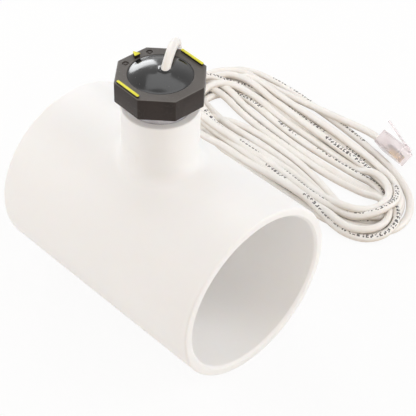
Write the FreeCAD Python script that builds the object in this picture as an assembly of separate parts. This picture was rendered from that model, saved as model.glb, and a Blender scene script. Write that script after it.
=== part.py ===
import FreeCAD, Part
import math
import os

# Paddle flow switch in a pipe tee, with its cable and plug. Millimetres, +Z up.
# The run of the tee lies along X on the floor, and the branch stands on the Z axis.

# Pipe tee
run_od = 68.0
run_length = 97.2
socket_wall = 3.8
socket_depth = 38.0
stop_height = 4.0
mouth_chamfer = 0.8
end_chamfer = 0.5
branch_wall = 3.2
branch_rise = 54.8
branch_fillet = 4.5
branch_rim_chamfer = 0.4

# Thread and neck of the switch
thread_od = 20.4
thread_depth = 15.0
thread_chamfer = 0.6
tape_wall = 0.2
tape_bare = 0.5
neck_od = 17.0
neck_clearance = 1.0
stem_lift = 1.8

# Octagonal head
head_flats = 29.7
head_height = 8.0
head_gap = 4.6
head_turn = -3.0
head_corner_round = 0.5
head_edge_chamfer = 0.25
cup_bore = 22.2
cup_floor = 1.6
dome_rise = 2.2
dome_sink = 0.3
well_bore = 13.0
well_floor = 4.0

# Raised marks on the head
bar_length = 10.9
bar_width = 1.0
bar_height = 0.9
bar_inset = 0.5
arrow_length = 2.8
arrow_width = 2.6
arrow_height = 1.4
arrow_inset = 0.2
paint_thickness = 0.1
pit_diameter = 2.4
pit_depth = 0.4
pit_spacing = 10.4
pit_inset = 2.9

# Clevis, pin and paddle
pivot_drop = 6.0
pin_diameter = 2.0
pin_clearance = 0.05
ear_thickness = 2.6
ear_width = 8.0
hub_width = 8.0
hub_side_clearance = 0.25
hub_reach = 5.5
hub_skirt = 4.4
stop_gap = 0.3
swing_angle = 35.0
blade_width = 15.0
blade_thickness = 1.6
blade_shoulder = 6.4
blade_tip_gap = 10.2
blade_corner = 5.0
blade_rib_width = 2.0
blade_rib_depth = 2.6
blade_rib_tip = 0.8
magnet_diameter = 4.6
magnet_length = 2.5
return_magnet_diameter = 4.0
return_magnet_length = 2.4
return_magnet_offset = 3.4

# Reed contact and its joints in the well
reed_diameter = 2.4
reed_length = 13.0
reed_wall = 0.35
reed_seal = 1.6
reed_lift = 2.0
reed_blade_width = 1.0
reed_blade_thickness = 0.2
reed_contact_gap = 0.1
reed_contact_overlap = 1.0
reed_lead = 0.5
reed_lead_drop = 1.2
reed_lead_spacing = 1.7
reed_lead_top = 3.2
sleeve_diameter = 1.6
sleeve_length = 4.8
conductor_diameter = 0.9
conductor_sides = 8

# Cable
cable_diameter = 3.2
cable_sides = 10
hank_height = 9.4
hank_edge = 1.4

# Modular plug, in its own frame: X to the nose, Y across, Z from the contacts to the latch
plug_length = 13.0
plug_width = 9.65
plug_height = 6.6
plug_corner = 0.4
plug_roll = -55.0
plug_yaw = -8.5
plug_rear = FreeCAD.Vector(4.0, 126.2, 5.7)
plug_wall = 0.9
entry_depth = 6.0
entry_height = 3.6
entry_floor = 1.1
contact_count = 4
contact_pitch = 1.02
contact_thickness = 0.4
contact_sink = 0.3
contact_length = 4.6
contact_nose_gap = 0.8
wire_height = 3.1
wire_nose_gap = 0.8
strain_length = 3.0
strain_width = 5.6
strain_rear = 1.6
latch_thickness = 0.9
latch_width = 3.2
latch_root_width = 6.2
latch_root_length = 5.0
latch_length = 15.5
latch_angle = 15.0
latch_root_rise = 1.0
latch_root_inset = 0.6
latch_hinge_gap = 0.02

# Heights and radii that follow from the sizes above
axis_z = run_od / 2
socket_bore = run_od - 2 * socket_wall
flow_bore = socket_bore - 2 * stop_height
rim_z = axis_z + branch_rise
head_z = rim_z + head_gap
top_z = head_z + head_height
cup_z = head_z + cup_floor
stem_z = axis_z + flow_bore / 2 + stem_lift
well_z = stem_z + well_floor
pivot_z = stem_z - pivot_drop
thread_end_z = rim_z - thread_depth
ear_inner = hub_width / 2 + hub_side_clearance
ear_outer = ear_inner + ear_thickness
branch_thread_bore = thread_od + 2 * tape_wall
branch_od = branch_thread_bore + 2 * branch_wall
branch_neck_bore = neck_od + 2 * neck_clearance

# Hand-chosen routes of the cable: over the head, with heights from the head's top, then down to
# the floor and into the hank, and from the hank to the plug
lead_over_head = [
    (3.2, -2.7, -10.6),
    (3.2, -2.7, -1.6),
    (-0.2, 4.0, 5.4),
    (-7.0, 13.4, 3.7),
    (-11.7, 19.0, -3.5),
]
lead_to_hank = [
    (-15.0, 22.5, 80.5),
    (-26.0, 32.0, 56.0),
    (-40.0, 42.5, 29.0),
    (-53.0, 49.0, 6.5),
    (-65.0, 54.0, 1.75),
    (-76.0, 60.5, 1.7),
    (-83.5, 69.5, 1.75),
    (-86.5, 80.5, 1.7),
    (-85.3, 92.0, 1.75),
]
tail_route = [
    (-27.0, 124.4, 3.6),
    (-14.0, 125.6, 4.6),
]
tail_straight = 5.0
hank_outline = [
    (-89.0, 86.0),
    (-88.0, 118.0),
    (-70.0, 128.0),
    (-30.0, 127.4),
    (16.0, 117.6),
    (37.0, 107.0),
    (45.0, 92.0),
    (38.0, 74.5),
    (0.0, 76.0),
    (-36.0, 72.0),
    (-62.0, 77.5),
]
hank_left_eye = [(-70.0, 97.0), (-70.0, 87.5), (-16.0, 94.0)]
hank_right_eye = [(28.0, 86.0), (22.0, 93.5), (-10.0, 93.0)]

# Share of the shorter run that an arc takes up at each of its ends
arc_share = 0.45

X_AXIS = FreeCAD.Vector(1, 0, 0)
Y_AXIS = FreeCAD.Vector(0, 1, 0)
Z_AXIS = FreeCAD.Vector(0, 0, 1)
ORIGIN = FreeCAD.Vector(0, 0, 0)


def point(x, y, z):
    """A point or direction."""
    return FreeCAD.Vector(x, y, z)


def cylinder(radius, start, end):
    """A solid round bar between two points."""
    along = end - start
    return Part.makeCylinder(radius, along.Length, start, along)


def block(low, high):
    """A box between its lowest and highest corners."""
    size = high - low
    return Part.makeBox(size.x, size.y, size.z, low)


def turned(profile, axis):
    """A closed profile of points turned once about an axis through the origin."""
    face = Part.Face(Part.makePolygon(profile + [profile[0]]))
    return face.revolve(ORIGIN, axis, 360)


def prism(profile, along):
    """A closed polygon of points pushed along a vector."""
    return Part.Face(Part.makePolygon(profile + [profile[0]])).extrude(along)


def corner_arc(before, corner, after):
    """The tangent arc that rounds one corner of a route, as large as its two runs allow."""
    arrive = corner - before
    leave = after - corner
    cut = arc_share * min(arrive.Length, leave.Length)
    arrive.normalize()
    leave.normalize()
    half_turn = arrive.getAngle(leave) / 2
    radius = cut / math.tan(half_turn)
    inward = leave - arrive
    inward.normalize()
    start = corner - arrive * cut
    end = corner + leave * cut
    middle = corner + inward * (radius / math.cos(half_turn) - radius)
    return start, middle, end, radius


def route_edges(points, closed=False):
    """Straight runs joined by tangent arcs through a list of points, and the arcs' radii."""
    count = len(points)
    first = 0 if closed else 1
    last = count if closed else count - 1
    arcs = [
        corner_arc(points[i - 1], points[i], points[(i + 1) % count])
        for i in range(first, last)
    ]
    here = arcs[-1][2] if closed else points[0]
    edges = []
    for start, middle, end, _ in arcs:
        edges.append(Part.LineSegment(here, start).toShape())
        edges.append(Part.Arc(start, middle, end).toShape())
        here = end
    if not closed:
        edges.append(Part.LineSegment(here, points[-1]).toShape())
    return edges, [arc[3] for arc in arcs]


def cord_section(start, along, diameter, sides):
    """The section of a round cord, as a many-sided face square to its way at its start."""
    turn = FreeCAD.Rotation(Z_AXIS, along)
    angles = [2 * math.pi * i / sides for i in range(sides + 1)]
    ring = [point(math.cos(a), math.sin(a), 0) * (diameter / 2) for a in angles]
    return Part.Face(Part.makePolygon([start + turn.multVec(p) for p in ring]))


def conductor(start, end):
    """One insulated conductor, straight between two points."""
    along = end - start
    return cord_section(start, along, conductor_diameter, conductor_sides).extrude(along)


def cable_tube(points):
    """The cable along a route, the radii of its bends and its length."""
    edges, radii = route_edges(points)
    path = Part.Wire(edges)
    along = points[1] - points[0]
    section = cord_section(points[0], along, cable_diameter, cable_sides)
    solid = path.makePipeShell([section.OuterWire], True, False)
    if abs(solid.Volume / (section.Area * path.Length) - 1) > 0.01:
        print("a cord's volume differs from its section times its length")
    return solid, radii, path.Length


def rounded_plate(outline, low, high):
    """A flat solid whose outline is a polygon with large round corners."""
    corners = [point(x, y, low) for x, y in outline]
    face = Part.Face(Part.Wire(route_edges(corners, closed=True)[0]))
    return face.extrude(Z_AXIS * (high - low))


def edges_where(shape, test):
    """The edges of a shape whose middle passes a test."""
    return [e for e in shape.Edges if test(e.valueAt((e.FirstParameter + e.LastParameter) / 2))]


def make_tee():
    """The pipe tee: a plain run with a stepped bore, and a branch with a moulded fillet."""
    half = run_length / 2
    outer = run_od / 2
    socket = socket_bore / 2
    run = cylinder(outer, point(-half, 0, axis_z), point(half, 0, axis_z))
    run = run.makeChamfer(end_chamfer, edges_where(run, lambda p: abs(abs(p.x) - half) < 0.01))
    branch = cylinder(branch_od / 2, point(0, 0, axis_z), point(0, 0, rim_z))
    rim_edge = edges_where(branch, lambda p: abs(p.z - rim_z) < 0.01)
    branch = branch.makeChamfer(branch_rim_chamfer, rim_edge)
    body = run.fuse(branch)

    def on_junction(p):
        on_branch = abs(math.hypot(p.x, p.y) - branch_od / 2) < 0.01
        on_run = abs(math.hypot(p.y, p.z - axis_z) - outer) < 0.01
        return on_branch and on_run and p.z > axis_z

    body = body.makeFillet(branch_fillet, edges_where(body, on_junction))
    mouth = socket + mouth_chamfer
    beyond = half + mouth_chamfer
    seat = half - socket_depth
    right_half = [
        (seat, flow_bore / 2),
        (seat, socket),
        (half - mouth_chamfer, socket),
        (half, mouth),
        (beyond, mouth),
        (beyond, 0),
    ]
    left_half = [(-x, r) for x, r in reversed(right_half)]
    bore = turned([point(x, 0, r) for x, r in left_half + right_half], X_AXIS)
    bore.translate(Z_AXIS * axis_z)
    thread_r = branch_thread_bore / 2
    neck_r = branch_neck_bore / 2
    top = thread_r + thread_chamfer
    hole = turned(
        [
            point(0, 0, axis_z),
            point(neck_r, 0, axis_z),
            point(neck_r, 0, thread_end_z),
            point(thread_r, 0, thread_end_z),
            point(thread_r, 0, rim_z - thread_chamfer),
            point(top, 0, rim_z),
            point(top, 0, rim_z + thread_chamfer),
            point(0, 0, rim_z + thread_chamfer),
        ],
        Z_AXIS,
    )
    return body.cut(bore).cut(hole)


def make_tape():
    """Sealing tape wound on the switch's thread."""
    high = point(0, 0, head_z - tape_bare)
    low = point(0, 0, thread_end_z + tape_bare)
    outer = cylinder(thread_od / 2 + tape_wall, low, high)
    return outer.cut(cylinder(thread_od / 2, low, high))


def octagon(low, high, flats):
    """An eight-sided block with two flats square to X."""
    radius = flats / 2 / math.cos(math.pi / 8)
    angles = [math.pi / 8 + i * math.pi / 4 for i in range(8)]
    corners = [point(radius * math.cos(a), radius * math.sin(a), low) for a in angles]
    return prism(corners, Z_AXIS * (high - low))


def mark_outlines():
    """The outlines of the two bars and the arrowhead on top of the head, each with its height."""
    edge = head_flats / 2
    outer = edge - bar_inset
    inner = outer - bar_width
    half = bar_length / 2
    tip = -edge + arrow_inset
    base = tip + arrow_length
    bars = [
        [(-half, s * inner), (half, s * inner), (half, s * outer), (-half, s * outer)]
        for s in (-1, 1)
    ]
    arrow = [(tip, 0), (base, -arrow_width / 2), (base, arrow_width / 2)]
    return [(bars[0], bar_height), (bars[1], bar_height), (arrow, arrow_height)]


def make_marks():
    """Moulded ribs of the flow marks, and the paint on top of them."""
    ribs = []
    paint = []
    for outline, height in mark_outlines():
        rib_top = top_z + height - paint_thickness
        ribs.append(prism([point(x, y, top_z) for x, y in outline], Z_AXIS * (rib_top - top_z)))
        paint.append(prism([point(x, y, rib_top) for x, y in outline], Z_AXIS * paint_thickness))
    return ribs, Part.makeCompound(paint)


def make_housing(ribs):
    """The moulded switch body: octagonal head, cup, threaded stem, neck and clevis ears."""
    head = octagon(head_z, top_z, head_flats)
    upright = edges_where(head, lambda p: head_z + 0.01 < p.z < top_z - 0.01)
    head = head.makeFillet(head_corner_round, upright)
    head = head.makeChamfer(head_edge_chamfer, edges_where(head, lambda p: p.z > top_z - 0.01))
    stem = cylinder(thread_od / 2, point(0, 0, thread_end_z + tape_bare), point(0, 0, head_z))
    neck = cylinder(neck_od / 2, point(0, 0, stem_z), point(0, 0, thread_end_z + tape_bare))
    body = head.fuse([stem, neck] + ribs)
    ear_end = point(0, 0, pivot_z)
    for side in (-1, 1):
        near = point(0, side * ear_inner, 0)
        far = point(0, side * ear_outer, 0)
        low = min(near.y, far.y)
        high = max(near.y, far.y)
        ear = block(point(-ear_width / 2, low, pivot_z), point(ear_width / 2, high, stem_z))
        ear = ear.fuse(cylinder(ear_width / 2, near + ear_end, far + ear_end))
        body = body.fuse(ear)
    pin_r = pin_diameter / 2
    body = body.cut(cylinder(pin_r, point(0, -ear_outer, pivot_z), point(0, ear_outer, pivot_z)))
    cup = cylinder(cup_bore / 2, point(0, 0, cup_z), point(0, 0, top_z + dome_rise))
    well = cylinder(well_bore / 2, point(0, 0, well_z), point(0, 0, cup_z))
    pocket_low = well_z - return_magnet_length
    seat = point(-return_magnet_offset, 0, 0)
    pocket = cylinder(
        return_magnet_diameter / 2, seat + Z_AXIS * pocket_low, seat + Z_AXIS * well_z
    )
    body = body.cut(cup).cut(well).cut(pocket)
    for side in (-1, 1):
        centre = point(-head_flats / 2 + pit_inset, side * pit_spacing / 2, 0)
        pit_low = centre + Z_AXIS * (top_z - pit_depth)
        body = body.cut(cylinder(pit_diameter / 2, pit_low, centre + Z_AXIS * (top_z + pit_depth)))
    magnet = cylinder(return_magnet_diameter / 2, seat + Z_AXIS * pocket_low, seat + Z_AXIS * well_z)
    return body.removeSplitter(), magnet


def make_paddle():
    """The paddle, with the roof-shaped top of its hub as the two stops, and its magnet and pin."""
    roof = pivot_drop - stop_gap
    swing = math.radians(swing_angle)
    ridge = -roof * (1 - math.cos(swing)) / math.sin(swing)
    eave = (roof - hub_reach * math.sin(swing)) / math.cos(swing)
    half_blade = blade_thickness / 2
    tip = pivot_z - (axis_z - flow_bore / 2 + blade_tip_gap)
    hub_outline = [
        (ridge, roof),
        (hub_reach, roof),
        (hub_reach, 0),
        (half_blade, -hub_skirt),
        (half_blade, -blade_shoulder),
        (-half_blade, -blade_shoulder),
        (-half_blade, -hub_skirt),
        (-hub_reach, 0),
        (-hub_reach, eave),
    ]
    side = -hub_width / 2
    hub = prism([point(x, side, pivot_z + z) for x, z in hub_outline], Y_AXIS * hub_width)
    across = blade_width / 2
    blade = block(
        point(-half_blade, -across, pivot_z - tip),
        point(half_blade, across, pivot_z - blade_shoulder),
    )
    corners = edges_where(blade, lambda p: abs(p.x) < 0.01 and p.z < pivot_z - tip + 0.01)
    blade = blade.makeFillet(blade_corner, corners)
    rib_outline = [
        (-half_blade, -hub_skirt),
        (-half_blade, -tip + blade_corner),
        (-half_blade - blade_rib_tip, -tip + blade_corner),
        (-half_blade - blade_rib_depth, -blade_shoulder),
        (-half_blade - blade_rib_depth, -hub_skirt),
    ]
    rib_side = -blade_rib_width / 2
    rib = prism([point(x, rib_side, pivot_z + z) for x, z in rib_outline], Y_AXIS * blade_rib_width)
    body = hub.fuse([blade, rib])
    bore_r = pin_diameter / 2 + pin_clearance
    body = body.cut(cylinder(bore_r, point(0, -across, pivot_z), point(0, across, pivot_z)))
    normal = point(-math.sin(swing), 0, math.cos(swing))
    slope_x = (ridge - hub_reach) / 2
    slope_z = (roof + eave) / 2
    face = point(slope_x, 0, pivot_z + slope_z)
    magnet = cylinder(magnet_diameter / 2, face - normal * magnet_length, face)
    pin = cylinder(pin_diameter / 2, point(0, -ear_outer, pivot_z), point(0, ear_outer, pivot_z))
    return body.cut(magnet).removeSplitter(), magnet, pin


def make_reed(base):
    """Reed contact standing in the well: two blades with square leads, sealed in a glass capsule."""
    low = well_z + reed_lift
    high = low + reed_length
    middle = (low + high) / 2
    lead_top = high + reed_lead_top
    axis = point(base.x, base.y + reed_lead_spacing / 2, 0)
    back = point(base.x, base.y - reed_lead_spacing / 2, 0)
    half = reed_lead / 2
    wide = reed_blade_width / 2
    near = reed_contact_gap / 2
    far = near + reed_blade_thickness
    lap = reed_contact_overlap / 2
    upper = block(axis + point(near, -wide, middle - lap), axis + point(far, wide, high - reed_seal))
    lead_low = axis + point(-half, -half, high - reed_seal)
    upper = upper.fuse(block(lead_low, axis + point(half, half, lead_top)))
    lower = block(axis + point(-far, -wide, low + reed_seal), axis + point(-near, wide, middle + lap))
    bend = low - reed_lead_drop
    hook = [
        (axis.y + half, low + reed_seal),
        (axis.y + half, bend - half),
        (back.y - half, bend - half),
        (back.y - half, lead_top),
        (back.y + half, lead_top),
        (back.y + half, bend + half),
        (axis.y - half, bend + half),
        (axis.y - half, low + reed_seal),
    ]
    lower = lower.fuse(prism([point(base.x - half, y, z) for y, z in hook], X_AXIS * reed_lead))
    capsule = cylinder(reed_diameter / 2, axis + Z_AXIS * low, axis + Z_AXIS * high)
    inside = reed_diameter / 2 - reed_wall
    gas = cylinder(inside, axis + Z_AXIS * (low + reed_seal), axis + Z_AXIS * (high - reed_seal))
    glass = capsule.cut(gas).cut(upper).cut(lower)
    return capsule, glass, upper, lower, [axis + Z_AXIS * lead_top, back + Z_AXIS * lead_top]


def make_joints(lead_tops, jacket_end):
    """Sleeves over the soldered joints, and the two conductors up to the end of the jacket."""
    sleeves = []
    wires = []
    half = Z_AXIS * (sleeve_length / 2)
    for top in lead_tops:
        wire = conductor(top, point(top.x, top.y, jacket_end.z))
        sleeves.append(cylinder(sleeve_diameter / 2, top - half, top + half).cut(wire))
        wires.append(wire)
    return sleeves, wires


def make_potting():
    """Potting compound that fills the well and the cup and stands up as a dome."""
    radius = cup_bore / 2
    height = dome_rise + dome_sink
    crown_z = top_z + dome_rise
    sphere_r = (radius ** 2 + height ** 2) / (2 * height)
    ball = Part.makeSphere(sphere_r, point(0, 0, crown_z - sphere_r), X_AXIS)
    cup = cylinder(radius, point(0, 0, cup_z), point(0, 0, crown_z)).common(ball)
    return cup.fuse(cylinder(well_bore / 2, point(0, 0, well_z), point(0, 0, cup_z)))


def make_hank():
    """The outer shape of the hank of cable, with the two eyes of its turns."""
    plate = rounded_plate(hank_outline, 0, hank_height)
    crest = edges_where(plate, lambda p: p.z > hank_height - 0.01)
    plate = plate.makeChamfer(hank_edge, crest)
    for eye in (hank_left_eye, hank_right_eye):
        plate = plate.cut(rounded_plate(eye, -hank_height, 2 * hank_height))
    return plate


def plug_placement():
    """Where the plug lies: rolled on its edge against the hank, nose towards +X."""
    roll = FreeCAD.Rotation(X_AXIS, plug_roll)
    yaw = FreeCAD.Rotation(Z_AXIS, plug_yaw)
    turn = yaw.multiply(roll)
    centre = point(0, 0, plug_height / 2)
    return FreeCAD.Placement(plug_rear - turn.multVec(centre), turn)


def contact_rows():
    """The positions of the contacts across the plug."""
    middle = (contact_count - 1) / 2
    return [(i - middle) * contact_pitch for i in range(contact_count)]


def make_plug():
    """The modular plug in its own frame: body, contacts, wires, strain bar and latch."""
    half = plug_width / 2
    body = block(point(0, -half, 0), point(plug_length, half, plug_height))
    long_edges = edges_where(body, lambda p: 0.01 < p.x < plug_length - 0.01)
    body = body.makeChamfer(plug_corner, long_edges)
    entry_top = entry_floor + entry_height
    inner = half - plug_wall
    entry = block(point(0, -inner, entry_floor), point(entry_depth, inner, entry_top))
    strain_end = strain_rear + strain_length
    strain_half = strain_width / 2
    window = block(point(strain_rear, -strain_half, 0), point(strain_end, strain_half, entry_floor))
    body = body.cut(entry).cut(window)
    cable_z = entry_floor + entry_height / 2
    cable_bottom = cable_z - cable_diameter / 2
    strain = block(point(strain_rear, -strain_half, 0), point(strain_end, strain_half, cable_bottom))
    contact_end = plug_length - contact_nose_gap
    wire_end = plug_length - wire_nose_gap
    contact_half = contact_thickness / 2
    contact_start = contact_end - contact_length
    contact_top = wire_height - conductor_diameter / 2
    contacts = []
    wires = []
    for y in contact_rows():
        low = point(contact_start, y - contact_half, 0)
        slot = block(low, point(plug_length, y + contact_half, wire_height))
        blade_low = low + Z_AXIS * contact_sink
        wire = conductor(point(entry_depth, y, wire_height), point(wire_end, y, wire_height))
        body = body.cut(slot).cut(wire)
        contacts.append(block(blade_low, point(contact_end, y + contact_half, contact_top)))
        wires.append(wire)
    root_x = plug_length - latch_root_inset - latch_thickness
    root_half = latch_root_width / 2
    root = block(
        point(root_x, -root_half, plug_height),
        point(root_x + latch_thickness, root_half, plug_height + latch_root_rise),
    )
    body = body.fuse(root).removeSplitter()
    return body, Part.makeCompound(contacts), wires, strain, make_latch(root_x)


def make_latch(root_x):
    """The plug's latch tongue, broad at its root and narrow at the finger end."""
    front = root_x - latch_hinge_gap
    slope = math.radians(latch_angle)
    low = plug_height + latch_root_rise - latch_thickness
    broad = latch_root_width / 2
    narrow = latch_width / 2
    outline = [
        (0, -broad),
        (0, broad),
        (-latch_root_length, broad),
        (-latch_root_length, narrow),
        (-latch_length, narrow),
        (-latch_length, -narrow),
        (-latch_root_length, -narrow),
        (-latch_root_length, -broad),
    ]
    tongue = prism([point(x, y, 0) for x, y in outline], Z_AXIS * latch_thickness)
    tongue.rotate(ORIGIN, Y_AXIS, latch_angle)
    tongue.translate(point(front - latch_thickness * math.sin(slope), 0, low))
    return tongue


def cable_in_plug(placement):
    """The straight end of the cable: a point behind the plug, and the jacket's end inside it."""
    height = entry_floor + entry_height / 2
    return [placement.multVec(point(x, 0, height)) for x in (-tail_straight, entry_depth)]


def main():
    """Builds every piece in place and writes one file for each."""
    ribs, paint = make_marks()
    housing, return_magnet = make_housing(ribs)
    paddle, paddle_magnet, pin = make_paddle()
    turn = FreeCAD.Placement(ORIGIN, FreeCAD.Rotation(Z_AXIS, head_turn))
    unturn = turn.inverse()
    lead_points = [point(x, y, top_z + rise) for x, y, rise in lead_over_head]
    lead_points += [point(*p) for p in lead_to_hank]
    lead, lead_radii, lead_length = cable_tube(lead_points)
    jacket_end = unturn.multVec(lead_points[0])
    capsule, glass, blade_upper, blade_lower, lead_tops = make_reed(jacket_end)
    sleeves, wires = make_joints(lead_tops, jacket_end)
    cartridge = {
        "switch_housing": housing,
        "flow_mark_paint": paint,
        "return_magnet": return_magnet,
        "paddle": paddle,
        "paddle_magnet": paddle_magnet,
        "pivot_pin": pin,
        "reed_glass": glass,
        "reed_blade_upper": blade_upper,
        "reed_blade_lower": blade_lower,
        "solder_sleeves": Part.makeCompound([s.cut([blade_upper, blade_lower]) for s in sleeves]),
        "head_wire_red": wires[0],
        "head_wire_green": wires[1],
    }
    lead_in_head = lead.copy()
    lead_in_head.Placement = unturn.multiply(lead_in_head.Placement)
    held = [capsule, blade_upper, blade_lower, lead_in_head] + sleeves + wires
    cartridge["potting_dome"] = make_potting().cut(held)
    hank = make_hank()
    plug = plug_placement()
    tail_points = [point(*p) for p in tail_route] + cable_in_plug(plug)
    tail, tail_radii, tail_length = cable_tube(tail_points)
    body, contacts, plug_wires, strain, latch = make_plug()
    plug_pieces = {
        "plug_body": body,
        "plug_contacts": contacts,
        "plug_strain_bar": strain,
        "plug_latch": latch,
    }
    for colour, wire in zip(("black", "red", "green", "yellow"), plug_wires):
        plug_pieces["plug_wire_" + colour] = wire
    nodes = {
        "tee_body": make_tee(),
        "thread_tape": make_tape(),
        "cable_lead": lead.cut(hank),
        "cable_hank": hank,
        "cable_tail": tail.cut(hank),
    }
    for name, shape in cartridge.items():
        shape.Placement = turn.multiply(shape.Placement)
        nodes[name] = shape
    for name, shape in plug_pieces.items():
        shape.Placement = plug.multiply(shape.Placement)
        nodes[name] = shape
    os.makedirs("parts", exist_ok=True)
    for name, shape in nodes.items():
        shape.exportStep("parts/" + name + ".step")
    print("lead", round(lead_length, 1), "bends", [round(r, 1) for r in lead_radii])
    print("tail", round(tail_length, 1), "bends", [round(r, 1) for r in tail_radii])


main()
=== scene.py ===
"""Visual model of a paddle flow switch in a pipe tee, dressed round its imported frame."""

import logging
import math
from dataclasses import dataclass, field
from enum import Enum
from typing import Any, Dict, List, Optional, Sequence, Tuple

import bmesh
import bpy
import numpy as np
from mathutils import Matrix, Vector


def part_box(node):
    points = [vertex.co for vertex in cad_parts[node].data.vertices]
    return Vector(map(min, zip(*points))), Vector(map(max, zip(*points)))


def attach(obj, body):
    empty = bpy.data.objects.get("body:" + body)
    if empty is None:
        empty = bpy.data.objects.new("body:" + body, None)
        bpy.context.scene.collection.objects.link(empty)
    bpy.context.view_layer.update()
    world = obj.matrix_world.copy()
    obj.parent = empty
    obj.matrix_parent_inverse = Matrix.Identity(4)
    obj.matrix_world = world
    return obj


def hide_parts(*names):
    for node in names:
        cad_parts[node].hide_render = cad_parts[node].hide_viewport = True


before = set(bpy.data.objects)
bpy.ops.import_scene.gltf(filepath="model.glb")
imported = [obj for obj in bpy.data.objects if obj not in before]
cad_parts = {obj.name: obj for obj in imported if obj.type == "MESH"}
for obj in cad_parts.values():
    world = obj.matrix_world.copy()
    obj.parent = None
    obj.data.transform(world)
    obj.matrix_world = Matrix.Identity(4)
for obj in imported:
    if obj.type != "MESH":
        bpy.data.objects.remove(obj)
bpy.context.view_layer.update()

TEE_BODY = "tee_and_switch"
MM = 0.001
WELD = 1e-6
SHARP_ANGLE = math.radians(40.0)
TINY_RADIUS = 0.02
TINY_GAP = 1e-9

Array = np.ndarray
Piece = bpy.types.Object
Material = bpy.types.Material
Tree = bpy.types.NodeTree
Node = bpy.types.Node
Socket = bpy.types.NodeSocket
Pair = Tuple[float, float]
Triple = Tuple[float, float, float]
Colour = Triple
Loop = Sequence[Pair]
log = logging.getLogger("flow_switch")


class Effect(Enum):
    """Surface effects that several finishes share."""

    MOTTLE = "mottled_colour"
    GRAIN = "moulded_grain"
    SCUFF = "hairline_scuffs"
    DUST = "settled_dust"


def unit(vectors: Array) -> Array:
    """The vectors of an array, each divided by its own length."""
    return vectors / np.linalg.norm(vectors, axis=-1, keepdims=True)


def smooth(value: Array) -> Array:
    """A step from 0 to 1 with level ends: 3 v squared less 2 v cubed, v held between 0 and 1."""
    held = np.clip(value, 0, 1)
    return held * held * (3 - 2 * held)


def turn_about_z(points: Array, degrees: float) -> Array:
    """Points turned about the Z axis by an angle."""
    angle = math.radians(degrees)
    cos, sin = math.cos(angle), math.sin(angle)
    return points @ np.array([[cos, sin, 0], [-sin, cos, 0], [0, 0, 1]])


def swung(start: Array, end: Array, sweep: Array, share: Array) -> Array:
    """Arms turned evenly from one to another, weighed by the sines of their shares of a sweep."""
    return (np.sin((1 - share) * sweep) * start + np.sin(share * sweep) * end) / np.sin(sweep)


def rounded_line(corners: Sequence[Triple], steps: int, closed: bool) -> Array:
    """A polyline whose corners are tangent arcs.

    The arc at a corner is centred on its bisector, radius / sin(half angle) from the corner, and
    its points turn evenly from one tangent point to the other.

    Args:
        corners: Corners as x, y and radius. The two ends of an open line stay sharp.
        steps: Steps in each arc.
        closed: True where the last corner joins the first.

    Returns:
        The points of the line, n by 2.
    """
    table = np.array(corners, float)
    here = table[:, :2]
    radius = np.maximum(table[:, 2], TINY_RADIUS)
    before = unit(np.roll(here, 1, axis=0) - here)
    after = unit(np.roll(here, -1, axis=0) - here)
    half = np.arccos(np.clip((before * after).sum(axis=1), -1, 1)) / 2
    centre = here + unit(before + after) * (radius / np.sin(half))[:, None]
    reach = (radius / np.tan(half))[:, None]
    start = (here + before * reach - centre)[:, None]
    end = (here + after * reach - centre)[:, None]
    sweep = (math.pi - 2 * half)[:, None, None]
    share = np.linspace(0, 1, steps + 1)[None, :, None]
    arcs = centre[:, None] + swung(start, end, sweep, share)
    if closed:
        return arcs.reshape(-1, 2)
    return np.concatenate([here[:1], arcs[1:-1].reshape(-1, 2), here[-1:]])


def outward(outline: Array) -> Array:
    """Normals of a closed outline that runs counter-clockwise, square to the neighbours' chord."""
    chord = np.roll(outline, -1, axis=0) - np.roll(outline, 1, axis=0)
    return unit(np.stack([chord[:, 1], -chord[:, 0]], axis=1))


def edge_levels(low: float, high: float, low_round: float, high_round: float) -> Array:
    """Heights and insets of a straight wall with a quarter round at each edge.

    The inset grows as radius times (1 - cosine) towards an edge, and the height as its sine.

    Args:
        low: Height of the lower edge.
        high: Height of the upper edge.
        low_round: Radius of the lower edge.
        high_round: Radius of the upper edge.

    Returns:
        Rows of height and inset, from the lower edge to the upper.
    """
    angle = np.linspace(0, math.pi / 2, 6)
    drop, inset = 1 - np.sin(angle), 1 - np.cos(angle)
    up = np.stack([high - high_round * drop, high_round * inset], axis=1)
    down = np.stack([low + low_round * drop, low_round * inset], axis=1)
    return np.concatenate([down[::-1], up])


def raised(flat: Array, height: Array) -> Array:
    """A grid of flat points with heights: one for each point, for each row, or for all of them."""
    return np.concatenate([flat, np.broadcast_to(height[..., None], flat.shape[:2] + (1,))], axis=2)


def loft(outline: Array, levels: Array) -> Array:
    """A closed outline carried through levels, moved along its normals by each level's inset.

    Args:
        outline: Points of the outline, n by 2, counter-clockwise.
        levels: Rows of height and inset.

    Returns:
        Points, levels by n by 3.
    """
    return raised(outline[None] - outward(outline)[None] * levels[:, 1, None, None], levels[:, :1])


def carried(profile: Array, around: Array) -> Array:
    """A profile of radius and height carried round a ring: radius times each direction, and height.

    Args:
        profile: Points of the profile, n by 2.
        around: Directions of the ring's columns, m by 2.

    Returns:
        Points, n by m by 3.
    """
    return raised(profile[:, 0, None, None] * around[None], profile[:, 1:])


def even_angles(count: int) -> Array:
    """Angles of columns spread evenly over a full turn."""
    return np.arange(count) * (2 * math.pi / count)


def round_axis(radius: Any, angle: Array, height: Array) -> Array:
    """Points about Z: radius times cosine, radius times sine, and height, spread over one grid."""
    parts = np.broadcast_arrays(radius * np.cos(angle), radius * np.sin(angle), height)
    return np.stack(parts, axis=-1)


def turned(profile: Array, count: int) -> Array:
    """A profile of radius and height turned about Z in a count of even columns."""
    return round_axis(profile[:, :1], even_angles(count), profile[:, 1:])


def step_lengths(path: Array) -> Array:
    """Lengths of the steps from each point of a path to the next."""
    return np.linalg.norm(np.diff(path, axis=0), axis=1)


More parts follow.
